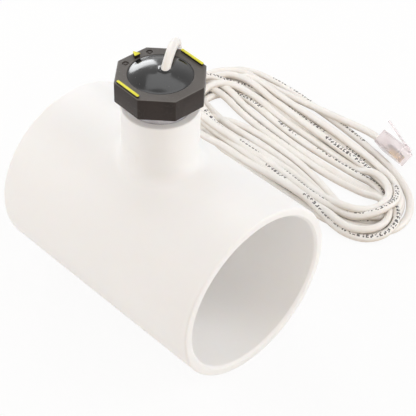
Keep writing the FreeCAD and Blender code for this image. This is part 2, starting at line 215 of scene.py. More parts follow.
def placed(name: str, data: Any) -> Piece:
    """A new object in the scene."""
    made = bpy.data.objects.new(name, data)
    bpy.context.scene.collection.objects.link(made)
    return made


@dataclass
class Patch:
    """A grid of points in millimetres, with rows along a profile and columns round it.

    Attributes:
        points: Array of rows by columns by 3.
        closed: True where the last column joins the first.
        capped: True where fans close the first and the last row.
        uv: Texture coordinates, rows by one more than the columns by 2.
        wear: Edge wear from 0 to 1 for each row.
    """

    points: Array
    closed: bool = True
    capped: bool = False
    uv: Optional[Array] = None
    wear: Optional[Array] = None


@dataclass
class MeshBuilder:
    """Collects patches and writes them as one welded mesh at the origin.

    Attributes:
        name: Name of the mesh and of its object.
        points: Points of each patch so far.
        faces: Vertex numbers of each face.
        corners: Texture coordinates at the corners of each patch's faces.
        wear: Edge wear at each patch's points.
        count: Number of points so far.
    """

    name: str
    points: List[Array] = field(default_factory=list)
    faces: List[List[int]] = field(default_factory=list)
    corners: List[Array] = field(default_factory=list)
    wear: List[Array] = field(default_factory=list)
    count: int = 0

    def add(self, patch: Patch) -> "MeshBuilder":
        """Adds the quads of a patch, and the fans that close its ends.

        Args:
            patch: The grid to add.

        Returns:
            The builder itself.
        """
        rows, cols = patch.points.shape[:2]
        grid = self.count + np.arange(rows * cols).reshape(rows, cols)
        keep = cols if patch.closed else cols - 1
        left = grid[:, :keep]
        right = np.roll(grid, -1, axis=1)[:, :keep]
        quads = np.stack([left[:-1], right[:-1], right[1:], left[1:]], axis=-1).reshape(-1, 4)
        uv = np.zeros((rows, cols + 1, 2)) if patch.uv is None else patch.uv
        near, far = uv[:, :keep], uv[:, 1:keep + 1]
        corners = np.stack([near[:-1], far[:-1], far[1:], near[1:]], axis=2)
        self.corners.append(corners.reshape(-1, 2))
        row_wear = np.zeros(rows) if patch.wear is None else patch.wear
        self.wear.append(np.repeat(row_wear, cols))
        self.points.append(patch.points.reshape(-1, 3))
        self.faces.extend(quads.tolist())
        self.count += rows * cols
        for row in (0, -1) if patch.capped else ():
            self.add_fan(grid[row], patch.points[row], uv[row])
        return self

    def add_fan(self, ring: Array, points: Array, uv: Array) -> None:
        """Closes a ring of points with triangles to its middle.

        Args:
            ring: The ring's vertex numbers.
            points: The ring's points.
            uv: The ring's texture coordinates.
        """
        hub = np.full(len(ring), self.count)
        fan = np.stack([ring, np.roll(ring, -1), hub], axis=1)
        self.faces.extend(fan.tolist())
        self.points.append(points.mean(axis=0)[None])
        self.wear.append(np.zeros(1))
        self.corners.append(np.repeat(uv[:-1], 3, axis=0))
        self.count += 1

    def build(self, finish: "Finish") -> Piece:
        """Writes the mesh, welds its seams, turns its faces outwards and shades it.

        Args:
            finish: The finish that it gets.

        Returns:
            The new object.
        """
        mesh = bpy.data.meshes.new(self.name)
        mesh.from_pydata((np.concatenate(self.points) * MM).tolist(), [], self.faces)
        layer = mesh.uv_layers.new(name="UVMap")
        layer.data.foreach_set("uv", np.concatenate(self.corners).ravel())
        edge = mesh.attributes.new("edge", "FLOAT", "POINT")
        edge.data.foreach_set("value", np.concatenate(self.wear))
        work = bmesh.new()
        work.from_mesh(mesh)
        bmesh.ops.remove_doubles(work, verts=work.verts, dist=WELD)
        bmesh.ops.recalc_face_normals(work, faces=work.faces)
        work.to_mesh(mesh)
        work.free()
        mesh.polygons.foreach_set("use_smooth", np.ones(len(mesh.polygons), bool))
        mesh.set_sharp_from_angle(angle=SHARP_ANGLE)
        mesh.materials.append(finish.material())
        return placed(self.name, mesh)


def seat(piece: Piece, slot: str, *nodes: str) -> Piece:
    """Lets a piece ride on the tee's body and hides the nodes that it stands for.

    Args:
        piece: The new piece.
        slot: Name of a material slot; not used.
        nodes: The nodes that it replaces.

    Returns:
        The piece.
    """
    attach(piece, TEE_BODY)
    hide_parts(*nodes)
    log.info("%s: %d faces on %s", piece.name, len(piece.data.polygons), TEE_BODY)
    return piece


class ShaderKit:
    """Short ways to add and join the nodes of one tree."""

    def __init__(self, tree: Tree) -> None:
        """Keeps the tree that the nodes go into."""
        self.tree = tree

    def feed(self, socket: Socket, value: Any) -> None:
        """Links a socket to an output, or sets its value.

        Args:
            socket: The input.
            value: An output socket, a number, a vector or a colour.
        """
        if isinstance(value, Socket):
            self.tree.links.new(value, socket)
        elif socket.type == "RGBA" and len(value) == 3:
            socket.default_value = (*value, 1.0)
        else:
            socket.default_value = value

    def node(self, kind: str, inputs: Optional[Dict[Any, Any]] = None, **settings: Any) -> Node:
        """Adds a node.

        Args:
            kind: The node's type name.
            inputs: Values or outputs for its inputs, by name or number.
            settings: The node's own settings.

        Returns:
            The node.
        """
        made = self.tree.nodes.new(kind)
        for key, value in settings.items():
            setattr(made, key, value)
        for key, value in (inputs or {}).items():
            self.feed(made.inputs[key], value)
        return made

    def math(self, operation: str, first: Any, second: Any = 0.0) -> Socket:
        """The result of one operation on two values."""
        return self.node("ShaderNodeMath", {0: first, 1: second}, operation=operation).outputs[0]

    def mix(self, share: Any, first: Any, second: Any) -> Socket:
        """A colour between two, by a share from 0 to 1."""
        inputs = {0: share, 6: first, 7: second}
        return self.node("ShaderNodeMix", inputs, data_type="RGBA").outputs[2]

    def noise(self, vector: Any, scale: Any, detail: float, rough: float = 0.55) -> Socket:
        """Fractal noise from 0 to 1 about one half."""
        inputs = {"Vector": vector, "Scale": scale, "Detail": detail, "Roughness": rough}
        return self.node("ShaderNodeTexNoise", inputs).outputs[0]

    def span(self, value: Any, low: Any, high: Any, start: Any, end: Any) -> Socket:
        """A value carried from one range to another and held inside it."""
        inputs = {"Value": value, "From Min": low, "From Max": high, "To Min": start, "To Max": end}
        return self.node("ShaderNodeMapRange", inputs).outputs[0]

    def part(self, vector: Socket, index: int) -> Socket:
        """One of the three parts of a vector."""
        return self.node("ShaderNodeSeparateXYZ", {0: vector}).outputs[index]

    def product(self, *values: Any) -> Socket:
        """The product of two or more values."""
        found = values[0]
        for value in values[1:]:
            found = self.math("MULTIPLY", found, value)
        return found

    def effect(self, kind: Effect, inputs: Dict[str, Any]) -> Dict[str, Socket]:
        """Places one of the shared effects in the tree, and gives its outputs by name."""
        made = self.node("ShaderNodeGroup", inputs, node_tree=effect_group(kind))
        return {found.name: found for found in made.outputs}


def blank_kit(owner: Any) -> ShaderKit:
    """The cleared node tree of a new material or world."""
    owner.use_nodes = True
    owner.node_tree.nodes.clear()
    return ShaderKit(owner.node_tree)


SOCKET_KINDS = {
    "Vector": "NodeSocketVector",
    "Light": "NodeSocketColor",
    "Dark": "NodeSocketColor",
    "Color": "NodeSocketColor",
}


def new_group(kind: Effect, inputs: Sequence[str], outputs: Sequence[str]) -> Tuple[ShaderKit, Any]:
    """A new shader group with its sockets, which are plain numbers unless SOCKET_KINDS names them.

    Args:
        kind: The effect that it makes.
        inputs: Names of its inputs.
        outputs: Names of its outputs.

    Returns:
        The group's kit, and the sockets that bring its inputs.
    """
    tree = bpy.data.node_groups.new(kind.value, "ShaderNodeTree")
    for side, labels in (("INPUT", inputs), ("OUTPUT", outputs)):
        for label in labels:
            wanted = SOCKET_KINDS.get(label, "NodeSocketFloat")
            tree.interface.new_socket(name=label, in_out=side, socket_type=wanted)
    kit = ShaderKit(tree)
    return kit, kit.node("NodeGroupInput").outputs


def mottle_group() -> Tree:
    """Two colours that run into each other in broad and finer clouds."""
    kit, given = new_group(Effect.MOTTLE, ("Vector", "Light", "Dark", "Scale"), ("Color",))
    broad = kit.noise(given["Vector"], given["Scale"], detail=4.0)
    fine = kit.noise(given["Vector"], kit.product(given["Scale"], 7.0), detail=3.0)
    both = kit.math("ADD", kit.product(broad, 0.7), kit.product(fine, 0.3))
    share = kit.span(both, 0.38, 0.62, 0.0, 1.0)
    kit.node("NodeGroupOutput", {"Color": kit.mix(share, given["Light"], given["Dark"])})
    return kit.tree


def grain_group() -> Tree:
    """Fine moulded grain, as a roughness between two values and a height."""
    inputs = ("Vector", "Scale", "Low", "High")
    kit, given = new_group(Effect.GRAIN, inputs, ("Roughness", "Height"))
    grain = kit.noise(given["Vector"], given["Scale"], detail=6.0, rough=0.6)
    rough = kit.span(grain, 0.3, 0.7, given["Low"], given["High"])
    kit.node("NodeGroupOutput", {"Roughness": rough, "Height": grain})
    return kit.tree


def scuff_group() -> Tree:
    """Hairline scuffs: thin bands where stretched noise is near one half, in scattered places."""
    kit, given = new_group(Effect.SCUFF, ("Vector", "Scale", "Amount"), ("Mask",))
    stretch = {0: given["Vector"], 1: (1.0, 9.0, 4.0)}
    drawn = kit.node("ShaderNodeVectorMath", stretch, operation="MULTIPLY").outputs[0]
    lines = kit.noise(drawn, given["Scale"], detail=2.0)
    from_half = kit.math("ABSOLUTE", kit.math("SUBTRACT", lines, 0.5))
    places = kit.noise(given["Vector"], kit.product(given["Scale"], 0.6), detail=2.0)
    thin = kit.span(from_half, 0.0, 0.012, 1.0, 0.0)
    here = kit.span(places, 0.52, 0.66, 0.0, 1.0)
    mask = kit.product(thin, here, given["Amount"])
    kit.node("NodeGroupOutput", {"Mask": mask})
    return kit.tree


def dust_group() -> Tree:
    """Dust specks on faces that look up: small dots about scattered points."""
    kit, given = new_group(Effect.DUST, ("Vector", "Scale", "Amount"), ("Mask",))
    dots = kit.node("ShaderNodeTexVoronoi", {"Vector": given["Vector"], "Scale": given["Scale"]})
    near = kit.span(dots.outputs["Distance"], 0.06, 0.16, 1.0, 0.0)
    some = kit.node("ShaderNodeSeparateColor", {0: dots.outputs["Color"]}).outputs[0]
    chosen = kit.span(some, 0.72, 0.8, 0.0, 1.0)
    upward = kit.part(kit.node("ShaderNodeTexCoord").outputs["Normal"], 2)
    facing = kit.span(upward, 0.5, 0.95, 0.0, 1.0)
    mask = kit.product(near, chosen, facing, given["Amount"])
    kit.node("NodeGroupOutput", {"Mask": mask})
    return kit.tree


def effect_group(kind: Effect) -> Tree:
    """The shared group of an effect, built at its first use."""
    makers = {
        Effect.MOTTLE: mottle_group,
        Effect.GRAIN: grain_group,
        Effect.SCUFF: scuff_group,
        Effect.DUST: dust_group,
    }
    return bpy.data.node_groups.get(kind.value) or makers[kind]()


@dataclass(frozen=True)
class Finish:
    """What each finish has: two colours that run into each other, and a grained roughness.

    Attributes:
        name: The material's name.
        light: The paler of its two colours.
        dark: The darker one.
        rough: Roughness, lowest and highest.
        clouds: Clouds of colour per metre.
        grain: Grains per metre.
    """

    name: str
    light: Colour
    dark: Colour
    rough: Pair
    clouds: float = 35.0
    grain: float = 2500.0

    def material(self) -> Material:
        """The finish as a material, which each kind of finish makes in its own way."""
        raise NotImplementedError(self.name)


class Coat(ShaderKit):
    """The nodes of one material, round its Principled shader."""

    def __init__(self, finish: Finish) -> None:
        """Starts a material with a finish's mottled colour and grained roughness.

        Args:
            finish: The finish.
        """
        self.made = bpy.data.materials.new(finish.name)
        self.made.use_nodes = True
        super().__init__(self.made.node_tree)
        self.shader = self.tree.nodes["Principled BSDF"]
        self.coords = self.node("ShaderNodeTexCoord").outputs
        self.where = self.coords["Object"]
        tints = {"Light": finish.light, "Dark": finish.dark, "Scale": finish.clouds}
        self.colour = self.effect(Effect.MOTTLE, {"Vector": self.where, **tints})["Color"]
        low, high = finish.rough
        wanted = {"Vector": self.where, "Scale": finish.grain, "Low": low, "High": high}
        self.grain = self.effect(Effect.GRAIN, wanted)

    def tint(self, share: Any, colour: Colour) -> None:
        """Lays a colour over the material's own, by a share from 0 to 1."""
        self.colour = self.mix(share, self.colour, colour)

    def upward(self) -> Socket:
        """How far the surface looks up, from -1 to 1."""
        return self.part(self.node("ShaderNodeNewGeometry").outputs["Normal"], 2)

    def relief(self, depth: float) -> Socket:
        """The normal that the grain gives at a depth in metres."""
        inputs = {"Height": self.grain["Height"], "Distance": depth, "Strength": 1.0}
        return self.node("ShaderNodeBump", inputs).outputs[0]

    def finished(self, values: Dict[str, Any]) -> Material:
        """Joins colour and roughness to the shader.

        Args:
            values: Plain values or outputs for the shader's other inputs.

        Returns:
            The material.
        """
        surface = {"Base Color": self.colour, "Roughness": self.grain["Roughness"], **values}
        for label, value in surface.items():
            self.feed(self.shader.inputs[label], value)
        return self.made


def under_surface(share: float, reach: Triple) -> Dict[str, Any]:
    """Shader values for light that passes under a surface, by its share and its reach in metres."""
    spread = tuple(part / reach[0] for part in reach)
    return {"Subsurface Weight": share, "Subsurface Radius": spread, "Subsurface Scale": reach[0]}


@dataclass(frozen=True)
class Moulded(Finish):
    """A moulded plastic: mottled colour, fine grain, hairline scuffs, dust, paler edges, painted
    top light.

    Attributes:
        relief: Depth of the grain in metres.
        edge: Colour of its worn edges.
        edge_share: How much of that colour an edge takes.
        scuffs: Strength of the scuffs.
        scuff_scale: Scuffs per metre.
        dust: Strength of the dust.
        dust_scale: Specks per metre.
        dust_and_light_colour: Colour of the dust and scuffs, and of the painted light on upward
            faces.
        bleed: Share of light that passes under the surface.
        bleed_reach: How far it goes for red, green and blue, in metres.
        level: Specular level.
        top_dust_and_light: Share of a pale colour on faces that look up: partly dust, partly
            painted light.
        top_dust_and_light_span: How far up a face looks where that painted light starts, and where
            it is full.
        ring: Middle and radius in metres of a faint moulded ring, or None.
        ring_size: Half width and height of that ring in metres.
    """

    relief: float = 0.00002
    edge: Colour = (0.5, 0.5, 0.5)
    edge_share: float = 0.0
    scuffs: float = 0.0
    scuff_scale: float = 90.0
    dust: float = 0.0
    dust_scale: float = 900.0
    dust_and_light_colour: Colour = (0.6, 0.58, 0.55)
    bleed: float = 0.0
    bleed_reach: Triple = (0.002, 0.0015, 0.0011)
    level: float = 0.5
    top_dust_and_light: float = 0.0
    top_dust_and_light_span: Pair = (0.7, 0.98)
    ring: Optional[Tuple[float, float, float, float]] = None
    ring_size: Pair = (0.0003, 0.00008)

    def material(self) -> Material:
        """The finish as a material.

        Returns:
            A new material on Object coordinates.
        """
        coat = Coat(self)
        if self.edge_share > 0:
            worn = coat.node("ShaderNodeAttribute", attribute_name="edge").outputs["Fac"]
            coat.tint(coat.product(worn, self.edge_share), self.edge)
        if self.scuffs > 0:
            marks = {"Vector": coat.where, "Scale": self.scuff_scale, "Amount": self.scuffs}
            coat.tint(coat.effect(Effect.SCUFF, marks)["Mask"], self.dust_and_light_colour)
        # Painted light, partly settled dust: a pale colour on faces that look up lightens the top.
        if self.top_dust_and_light > 0:
            coat.tint(coat.span(coat.upward(), *self.top_dust_and_light_span, 0.0, self.top_dust_and_light), self.dust_and_light_colour)
        if self.dust > 0:
            specks = {"Vector": coat.where, "Scale": self.dust_scale, "Amount": self.dust}
            coat.tint(coat.effect(Effect.DUST, specks)["Mask"], self.dust_and_light_colour)
        normal = coat.relief(self.relief)
        if self.ring:
            width, height = self.ring_size
            middle = {0: coat.where, 1: self.ring[:3]}
            far = coat.node("ShaderNodeVectorMath", middle, operation="DISTANCE").outputs["Value"]
            off = coat.math("ABSOLUTE", coat.math("SUBTRACT", far, self.ring[3]))
            crest = coat.span(off, 0.0, width, 1.0, 0.0)
            inputs = {"Height": crest, "Distance": height, "Normal": normal}
            normal = coat.node("ShaderNodeBump", inputs).outputs[0]
        values = {"Normal": normal, "Specular IOR Level": self.level}
        if self.bleed > 0:
            values.update(under_surface(self.bleed, self.bleed_reach))
        return coat.finished(values)


@dataclass(frozen=True)
class Insulation(Moulded):
    """The plain insulation of a conductor."""

    rough: Pair = (0.3, 0.45)


@dataclass(frozen=True)
class Jacket(Finish):
    """The cable's jacket: cream vinyl, a broken line of printed dashes, and painted shade between
    strands.

    Attributes:
        ink: Colour of the dashes.
        ink_share: How much the ink covers.
        painted_shade: Colour of the painted shade on the sides of the strands that lie on the
            floor.
        painted_shade_share: How much of that colour they take.
        painted_shade_span: How far up a side looks where the painted shade is full, and where it
            ends.
        painted_shade_top: Heights in metres between which it fades.
        plain: Metres of plain jacket before the print starts.
        cell: Length of one printed cell in metres.
        empty: Share of the cells without ink.
        runs: Lengths of the runs of dashes in metres, each with the share of them left out.
        band: Half height of the printed line, as a share of the way round.
        line: Where that line lies, as a share of the way round.
        sway: Waves of that line: radians per metre, and size as a share of the way round.
        relief: Depth of the grain in metres.
        bleed: Share of light that passes under the surface.
        bleed_reach: How far it goes for red, green and blue, in metres.
    """

    name: str = "cream_cable_jacket"
    light: Colour = (0.905, 0.885, 0.86)
    dark: Colour = (0.87, 0.84, 0.80)
    rough: Pair = (0.38, 0.52)
    clouds: float = 120.0
    grain: float = 1800.0
    ink: Colour = (0.055, 0.05, 0.055)
    ink_share: float = 0.92
    # Painted shade: a brown that darkens the strands' sides near the floor, between strands.
    painted_shade: Colour = (0.62, 0.53, 0.43)
    painted_shade_share: float = 0.5
    painted_shade_span: Pair = (-0.1, 0.5)
    painted_shade_top: Pair = (0.0096, 0.012)
    plain: float = 0.24
    cell: float = 0.0006
    empty: float = 0.42
    runs: Sequence[Pair] = ((0.012, 0.3), (0.084, 0.52))
    band: float = 0.085
    line: float = 0.27
    sway: Pair = (11.0, 0.1)
    relief: float = 0.00003
    bleed: float = 0.12
    bleed_reach: Triple = (0.0012, 0.000864, 0.0006)

    def material(self) -> Material:
        """The finish as a material.

        Returns:
            A new material on the cable's own UV map: metres along it, and turns round it.
        """
        coat = Coat(self)
        # Painted shade: brown on the strands' sides low on the floor, where strands shade each
        # other.
        sides = coat.span(coat.upward(), *self.painted_shade_span, self.painted_shade_share, 0.0)
        low = coat.span(coat.part(coat.where, 2), *self.painted_shade_top, 1.0, 0.0)
        coat.tint(coat.product(sides, low), self.painted_shade)
        coat.tint(coat.product(self.dashes(coat, coat.coords["UV"]), self.ink_share), self.ink)
        values = under_surface(self.bleed, self.bleed_reach)
        return coat.finished({"Normal": coat.relief(self.relief), **values})

    def dashes(self, kit: ShaderKit, uv: Socket) -> Socket:
        """The mask of the printed dashes: random cells in rows, inside runs of random length.

        Every third column is bare, and so is the start of the cable.

        Args:
            kit: The material's nodes.
            uv: Metres along the cable and turns round it.

        Returns:
            A mask from 0 to 1.
        """
        along = kit.part(uv, 0)
        waves, size = self.sway
        sway = kit.product(kit.math("SINE", kit.product(along, waves)), size)
        off = kit.math("SUBTRACT", kit.part(uv, 1), kit.math("ADD", sway, self.line))
        inside = kit.math("LESS_THAN", kit.math("ABSOLUTE", off), self.band)
        column = kit.math("FLOOR", kit.math("DIVIDE", along, self.cell))
        row = kit.math("FLOOR", kit.math("DIVIDE", off, self.band * 0.5))
        spot = kit.node("ShaderNodeCombineXYZ", {0: column, 1: row}).outputs[0]
        chance = kit.node("ShaderNodeTexWhiteNoise", {0: spot}, noise_dimensions="2D").outputs[0]
        inked = kit.math("LESS_THAN", kit.math("FLOORED_MODULO", column, 3.0), 1.5)
        filled = kit.math("GREATER_THAN", chance, self.empty)
        started = kit.math("GREATER_THAN", along, self.plain)
        runs = [
            kit.math("GREATER_THAN", self.drawn(kit, along, length), left_out)
            for length, left_out in self.runs
        ]
        return kit.product(inside, filled, inked, started, *runs)

    def drawn(self, kit: ShaderKit, along: Socket, length: float) -> Socket:
        """A random value from 0 to 1 for each stretch of a length along the cable.

        Args:
            kit: The material's nodes.
            along: Metres along the cable.
            length: Length of a stretch in metres.

        Returns:
            The value.
        """
        stretch = kit.math("FLOOR", kit.math("DIVIDE", along, length))
        return kit.node("ShaderNodeTexWhiteNoise", {1: stretch}, noise_dimensions="1D").outputs[0]


@dataclass(frozen=True)
class Metal(Finish):
    """A bright metal with a finely grained polish."""

    rough: Pair = (0.18, 0.34)
    clouds: float = 400.0
    grain: float = 3000.0

    def material(self) -> Material:
        """The finish as a material on Object coordinates."""
        return Coat(self).finished({"Metallic": 1.0})


@dataclass(frozen=True)
class Clear(Finish):
    """A clear moulding or glass with a faint tint.

    Attributes:
        index: Refractive index.
        passing: Share of light that passes through.
    """

    clouds: float = 300.0
    grain: float = 1500.0
    index: float = 1.5
    passing: float = 0.95

    def material(self) -> Material:
        """The finish as a material on Object coordinates."""
        return Coat(self).finished({"Transmission Weight": self.passing, "IOR": self.index})


@dataclass(frozen=True)
class Palette:
    """The finishes of the object's pieces."""

    pipe: Moulded = Moulded(
        "white_pipe_plastic", (0.95, 0.945, 0.94), (0.935, 0.928, 0.92), (0.44, 0.54),
        clouds=22.0, grain=900.0, relief=0.00001, scuffs=0.012, bleed=0.2, level=0.35,
        dust_and_light_colour=(0.7, 0.66, 0.6), ring=(0.0, -0.0136, 0.0735, 0.0023),
    )
    # The head's upward faces get painted light, partly settled dust, that lightens its top.
    head: Moulded = Moulded(
        "black_head_moulding", (0.030, 0.020, 0.016), (0.020, 0.013, 0.010), (0.28, 0.40),
        clouds=140.0, grain=5200.0, relief=0.00003, edge=(0.13, 0.12, 0.11), edge_share=0.5,
        scuffs=0.10, dust=0.25, level=0.28, top_dust_and_light=0.14,
    )
    potting: Moulded = Moulded(
        "black_potting_resin", (0.014, 0.013, 0.013), (0.009, 0.009, 0.009), (0.10, 0.18),
        clouds=120.0, grain=260.0, relief=0.00001, dust=0.2,
    )
    marks: Moulded = Moulded(
        "yellow_mark_paint", (0.90, 0.86, 0.04), (0.80, 0.74, 0.03), (0.34, 0.5),
        clouds=420.0, grain=2600.0, relief=0.00004, edge=(0.6, 0.52, 0.03), edge_share=0.3,
    )
    tape: Moulded = Moulded(
        "wound_sealing_tape", (0.86, 0.85, 0.88), (0.70, 0.68, 0.73), (0.22, 0.42),
        clouds=260.0, grain=1500.0, relief=0.00005, bleed=0.25,
    )
    paddle: Moulded = Moulded(
        "black_paddle_moulding", (0.055, 0.053, 0.052), (0.038, 0.036, 0.035), (0.36, 0.5),
        clouds=120.0, grain=4200.0, scuffs=0.15,
    )
    sleeve: Moulded = Moulded(
        "shrunk_sleeve", (0.07, 0.07, 0.07), (0.05, 0.05, 0.05), (0.4, 0.55), clouds=600.0
    )
    wire_red: Moulded = Insulation("red_insulation", (0.70, 0.05, 0.04), (0.58, 0.03, 0.03))
    wire_green: Moulded = Insulation("green_insulation", (0.05, 0.42, 0.12), (0.03, 0.34, 0.09))
    wire_black: Moulded = Insulation("black_insulation", (0.03, 0.03, 0.03), (0.02, 0.02, 0.02))
    wire_yellow: Moulded = Insulation("yellow_insulation", (0.86, 0.70, 0.08), (0.76, 0.60, 0.05))
    jacket: Jacket = Jacket()
    plug: Clear = Clear(
        "clear_plug_moulding", (0.99, 0.945, 0.95), (0.97, 0.895, 0.91), (0.05, 0.10),
        index=1.22, passing=0.62,
    )
    glass: Clear = Clear("green_reed_glass", (0.80, 0.95, 0.88), (0.72, 0.9, 0.8), (0.02, 0.05))
    gold: Metal = Metal("gold_contact_plating", (0.92, 0.68, 0.26), (0.84, 0.58, 0.2))
    steel: Metal = Metal("ground_pin_steel", (0.72, 0.72, 0.72), (0.62, 0.62, 0.63))
    nickel: Metal = Metal("plated_magnet", (0.70, 0.70, 0.72), (0.6, 0.6, 0.62), (0.22, 0.4))
    reed: Metal = Metal("bright_reed_alloy", (0.76, 0.74, 0.70), (0.66, 0.64, 0.6))


PALETTE = Palette()


def box_mm(node: str) -> Tuple[Array, Array]:
    """The lowest and highest corners of a node in millimetres, to a tenth."""
    low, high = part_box(node)
    return np.round(np.array(low) / MM, 1), np.round(np.array(high) / MM, 1)


@dataclass
class PipeTee:
    """The white pipe tee: a plain run with two sockets, and a branch with a moulded fillet.

    Attributes:
        socket_bore: Bore of the two sockets.
        socket_depth: Depth of a socket.
        flow_bore: Bore between the sockets.
        branch_od: Outside diameter of the branch.
        thread_bore: Bore of the branch at its thread.
        thread_depth: Depth of the threaded part.
        neck_bore: Bore of the branch below its thread.
        fillet: Radius between branch and run.
        end_round: Radius of the run's outer end edges.
        rim_round: Radius of the branch's rim.
        hole_length: Half length of the field round the branch.
        hole_angle: Half angle of that field, round the run.
        mouth: Width of the bevel at a socket's mouth.
        bevel: Width of the bevel at the branch's rim.
        stop_edge: Length of the flow bore that is turned with each end.
        cells: Cells along that field, across it, and round the rest of the run.
    """

    socket_bore: float = 60.4
    socket_depth: float = 38.0
    flow_bore: float = 52.4
    branch_od: float = 27.2
    thread_bore: float = 20.8
    thread_depth: float = 15.0
    neck_bore: float = 19.0
    fillet: float = 4.5
    end_round: float = 0.9
    rim_round: float = 0.5
    hole_length: float = 24.0
    hole_angle: float = 0.78
    mouth: float = 0.9
    bevel: float = 0.6
    stop_edge: float = 0.4
    cells: Tuple[int, int, int] = (24, 32, 96)

    def __post_init__(self) -> None:
        """Takes the overall sizes from the frame."""
        low, high = box_mm("tee_body")
        self.half = (high[0] - low[0]) / 2
        self.outer = (high[1] - low[1]) / 2
        self.axis_z = self.outer
        self.rim_z = high[2]
        self.flow = self.flow_bore / 2
        self.seat = self.half - self.socket_depth
        self.flow_half = self.seat - self.stop_edge

    def on_run(self, x: Array, angle: Array, radius: Any) -> Array:
        """Points round the run's axis: x, radius times sine, and radius times cosine above it."""
        return np.stack([x, radius * np.sin(angle), self.axis_z + radius * np.cos(angle)], axis=-1)

    def angles(self) -> Array:
        """Angles of the columns round the run: across the branch's field, then round the rest."""
        across = np.linspace(-self.hole_angle, self.hole_angle, self.cells[1] + 1)
        return np.concatenate([across, self.far_angles()[1:-1]])

    def far_angles(self) -> Array:
        """Angles of the columns on the side away from the branch."""
        return np.linspace(self.hole_angle, 2 * math.pi - self.hole_angle, self.cells[2] + 1)

    def field_loop(self, reach: float) -> Tuple[Array, Array]:
        """The edge of a field round the branch, as positions along the run and angles round it.

        Args:
            reach: Half length of the field.

        Returns:
            Positions and angles of the loop's points, counter-clockwise from above.
        """
        along = np.linspace(-reach, reach, self.cells[0] + 1)
        across = np.linspace(-self.hole_angle, self.hole_angle, self.cells[1] + 1)
        ends = np.full(self.cells[1], reach)
        sides = np.full(self.cells[0], self.hole_angle)
        x = np.concatenate([along[:-1], ends, along[:0:-1], -ends])
        return x, np.concatenate([-sides, across[:-1], sides, across[:0:-1]])

    def end(self, side: int) -> Patch:
        """One end of the run, turned: outer wall, rounded end face, mouth, socket and stop.

        Args:
            side: 1 for the inlet end, -1 for the outlet end.

        Returns:
            The patch.
        """
        socket = self.socket_bore / 2
        profile = rounded_line(
            [
                (self.hole_length, self.outer, 0),
                (self.half, self.outer, self.end_round),
                (self.half, socket + self.mouth, 0.4),
                (self.half - self.mouth, socket, 0.8),
                (self.seat, socket, 0.5),
                (self.seat, self.flow, 0.3),
                (self.flow_half, self.flow, 0),
            ],
            steps=6,
            closed=False,
        )
        angle = self.angles()[None]
        x = np.broadcast_to(side * profile[:, :1], (len(profile), angle.shape[1]))
        return Patch(self.on_run(x, np.broadcast_to(angle, x.shape), profile[:, 1:]))

    def middle(self, reach: float, radius: float) -> Patch:
        """The part of the run below the branch, as a curved sheet.

        Args:
            reach: Half length of the sheet.
            radius: Radius of the wall.

        Returns:
            The patch.
        """
        along = np.linspace(-reach, reach, self.cells[0] + 1)
        x, angle = np.meshgrid(along, self.far_angles(), indexing="ij")
        return Patch(self.on_run(x, angle, radius), closed=False)

    def sleeve(self) -> Patch:
        """The branch, from its field on the run over the rim and down its bore to the flow bore.

        The fillet is the path of a ball that rolls round the foot of the branch. Its centre is the
        ball's radius outside both walls, and its arc runs between the two touching points.

        Returns:
            The patch.
        """
        x, angle = self.field_loop(self.hole_length)
        theta = np.arctan2(angle * self.outer, x)
        flat = np.stack([np.cos(theta), np.sin(theta)], axis=1)
        branch = self.branch_od / 2
        ball = branch + self.fillet
        reach = self.outer + self.fillet
        lift = np.sqrt(reach ** 2 - (ball * flat[:, 1]) ** 2)
        centre = np.column_stack([ball * flat, self.axis_z + lift])
        foot_angle = np.arctan2(ball * flat[:, 1], lift)
        foot = self.on_run(ball * flat[:, 0], foot_angle, self.outer)
        wall = np.column_stack([branch * flat, centre[:, 2]])
        share = np.linspace(0, 1, 7)[:-1, None]
        skirt_x = x + (ball * flat[:, 0] - x) * share
        skirt = self.on_run(skirt_x, angle + (foot_angle - angle) * share, self.outer)
        spread = np.arccos(((foot - centre) * (wall - centre)).sum(axis=1) / self.fillet ** 2)
        turn = np.linspace(0, 1, 13)[:, None, None]
        fillet = centre + swung(foot - centre, wall - centre, spread[None, :, None], turn)
        thread, neck = self.thread_bore / 2, self.neck_bore / 2
        step_z = self.rim_z - self.thread_depth
        profile = rounded_line(
            [
                (branch, self.rim_z - 6, 0),
                (branch, self.rim_z, self.rim_round),
                (thread + self.bevel, self.rim_z, 0.2),
                (thread, self.rim_z - self.bevel, 0.2),
                (thread, step_z, 0.2),
                (neck, step_z, 0.2),
                (neck, self.axis_z + self.flow + 1, 0),
            ],
            steps=5,
            closed=False,
        )
        tube = carried(profile, flat)
        inner_x, inner_angle = self.field_loop(self.flow_half)
        lip_x, lip_angle = neck * flat[:, 0], np.arcsin(neck * flat[:, 1] / self.flow)
        share = np.linspace(0, 1, 5)[:, None]
        inner_x = lip_x + (inner_x - lip_x) * share
        inner_angle = lip_angle + (inner_angle - lip_angle) * share
        inner = self.on_run(inner_x, inner_angle, self.flow)
        return Patch(np.concatenate([skirt, fillet, tube, inner]))

    def build(self) -> Piece:
        """Builds the tee as one closed shell.

        Returns:
            The tee.
        """
        builder = MeshBuilder("pipe_tee")
        builder.add(self.end(1)).add(self.end(-1))
        builder.add(self.middle(self.hole_length, self.outer))
        builder.add(self.middle(self.flow_half, self.flow))
        builder.add(self.sleeve())
        return seat(builder.build(PALETTE.pipe), "white_pipe", "tee_body")


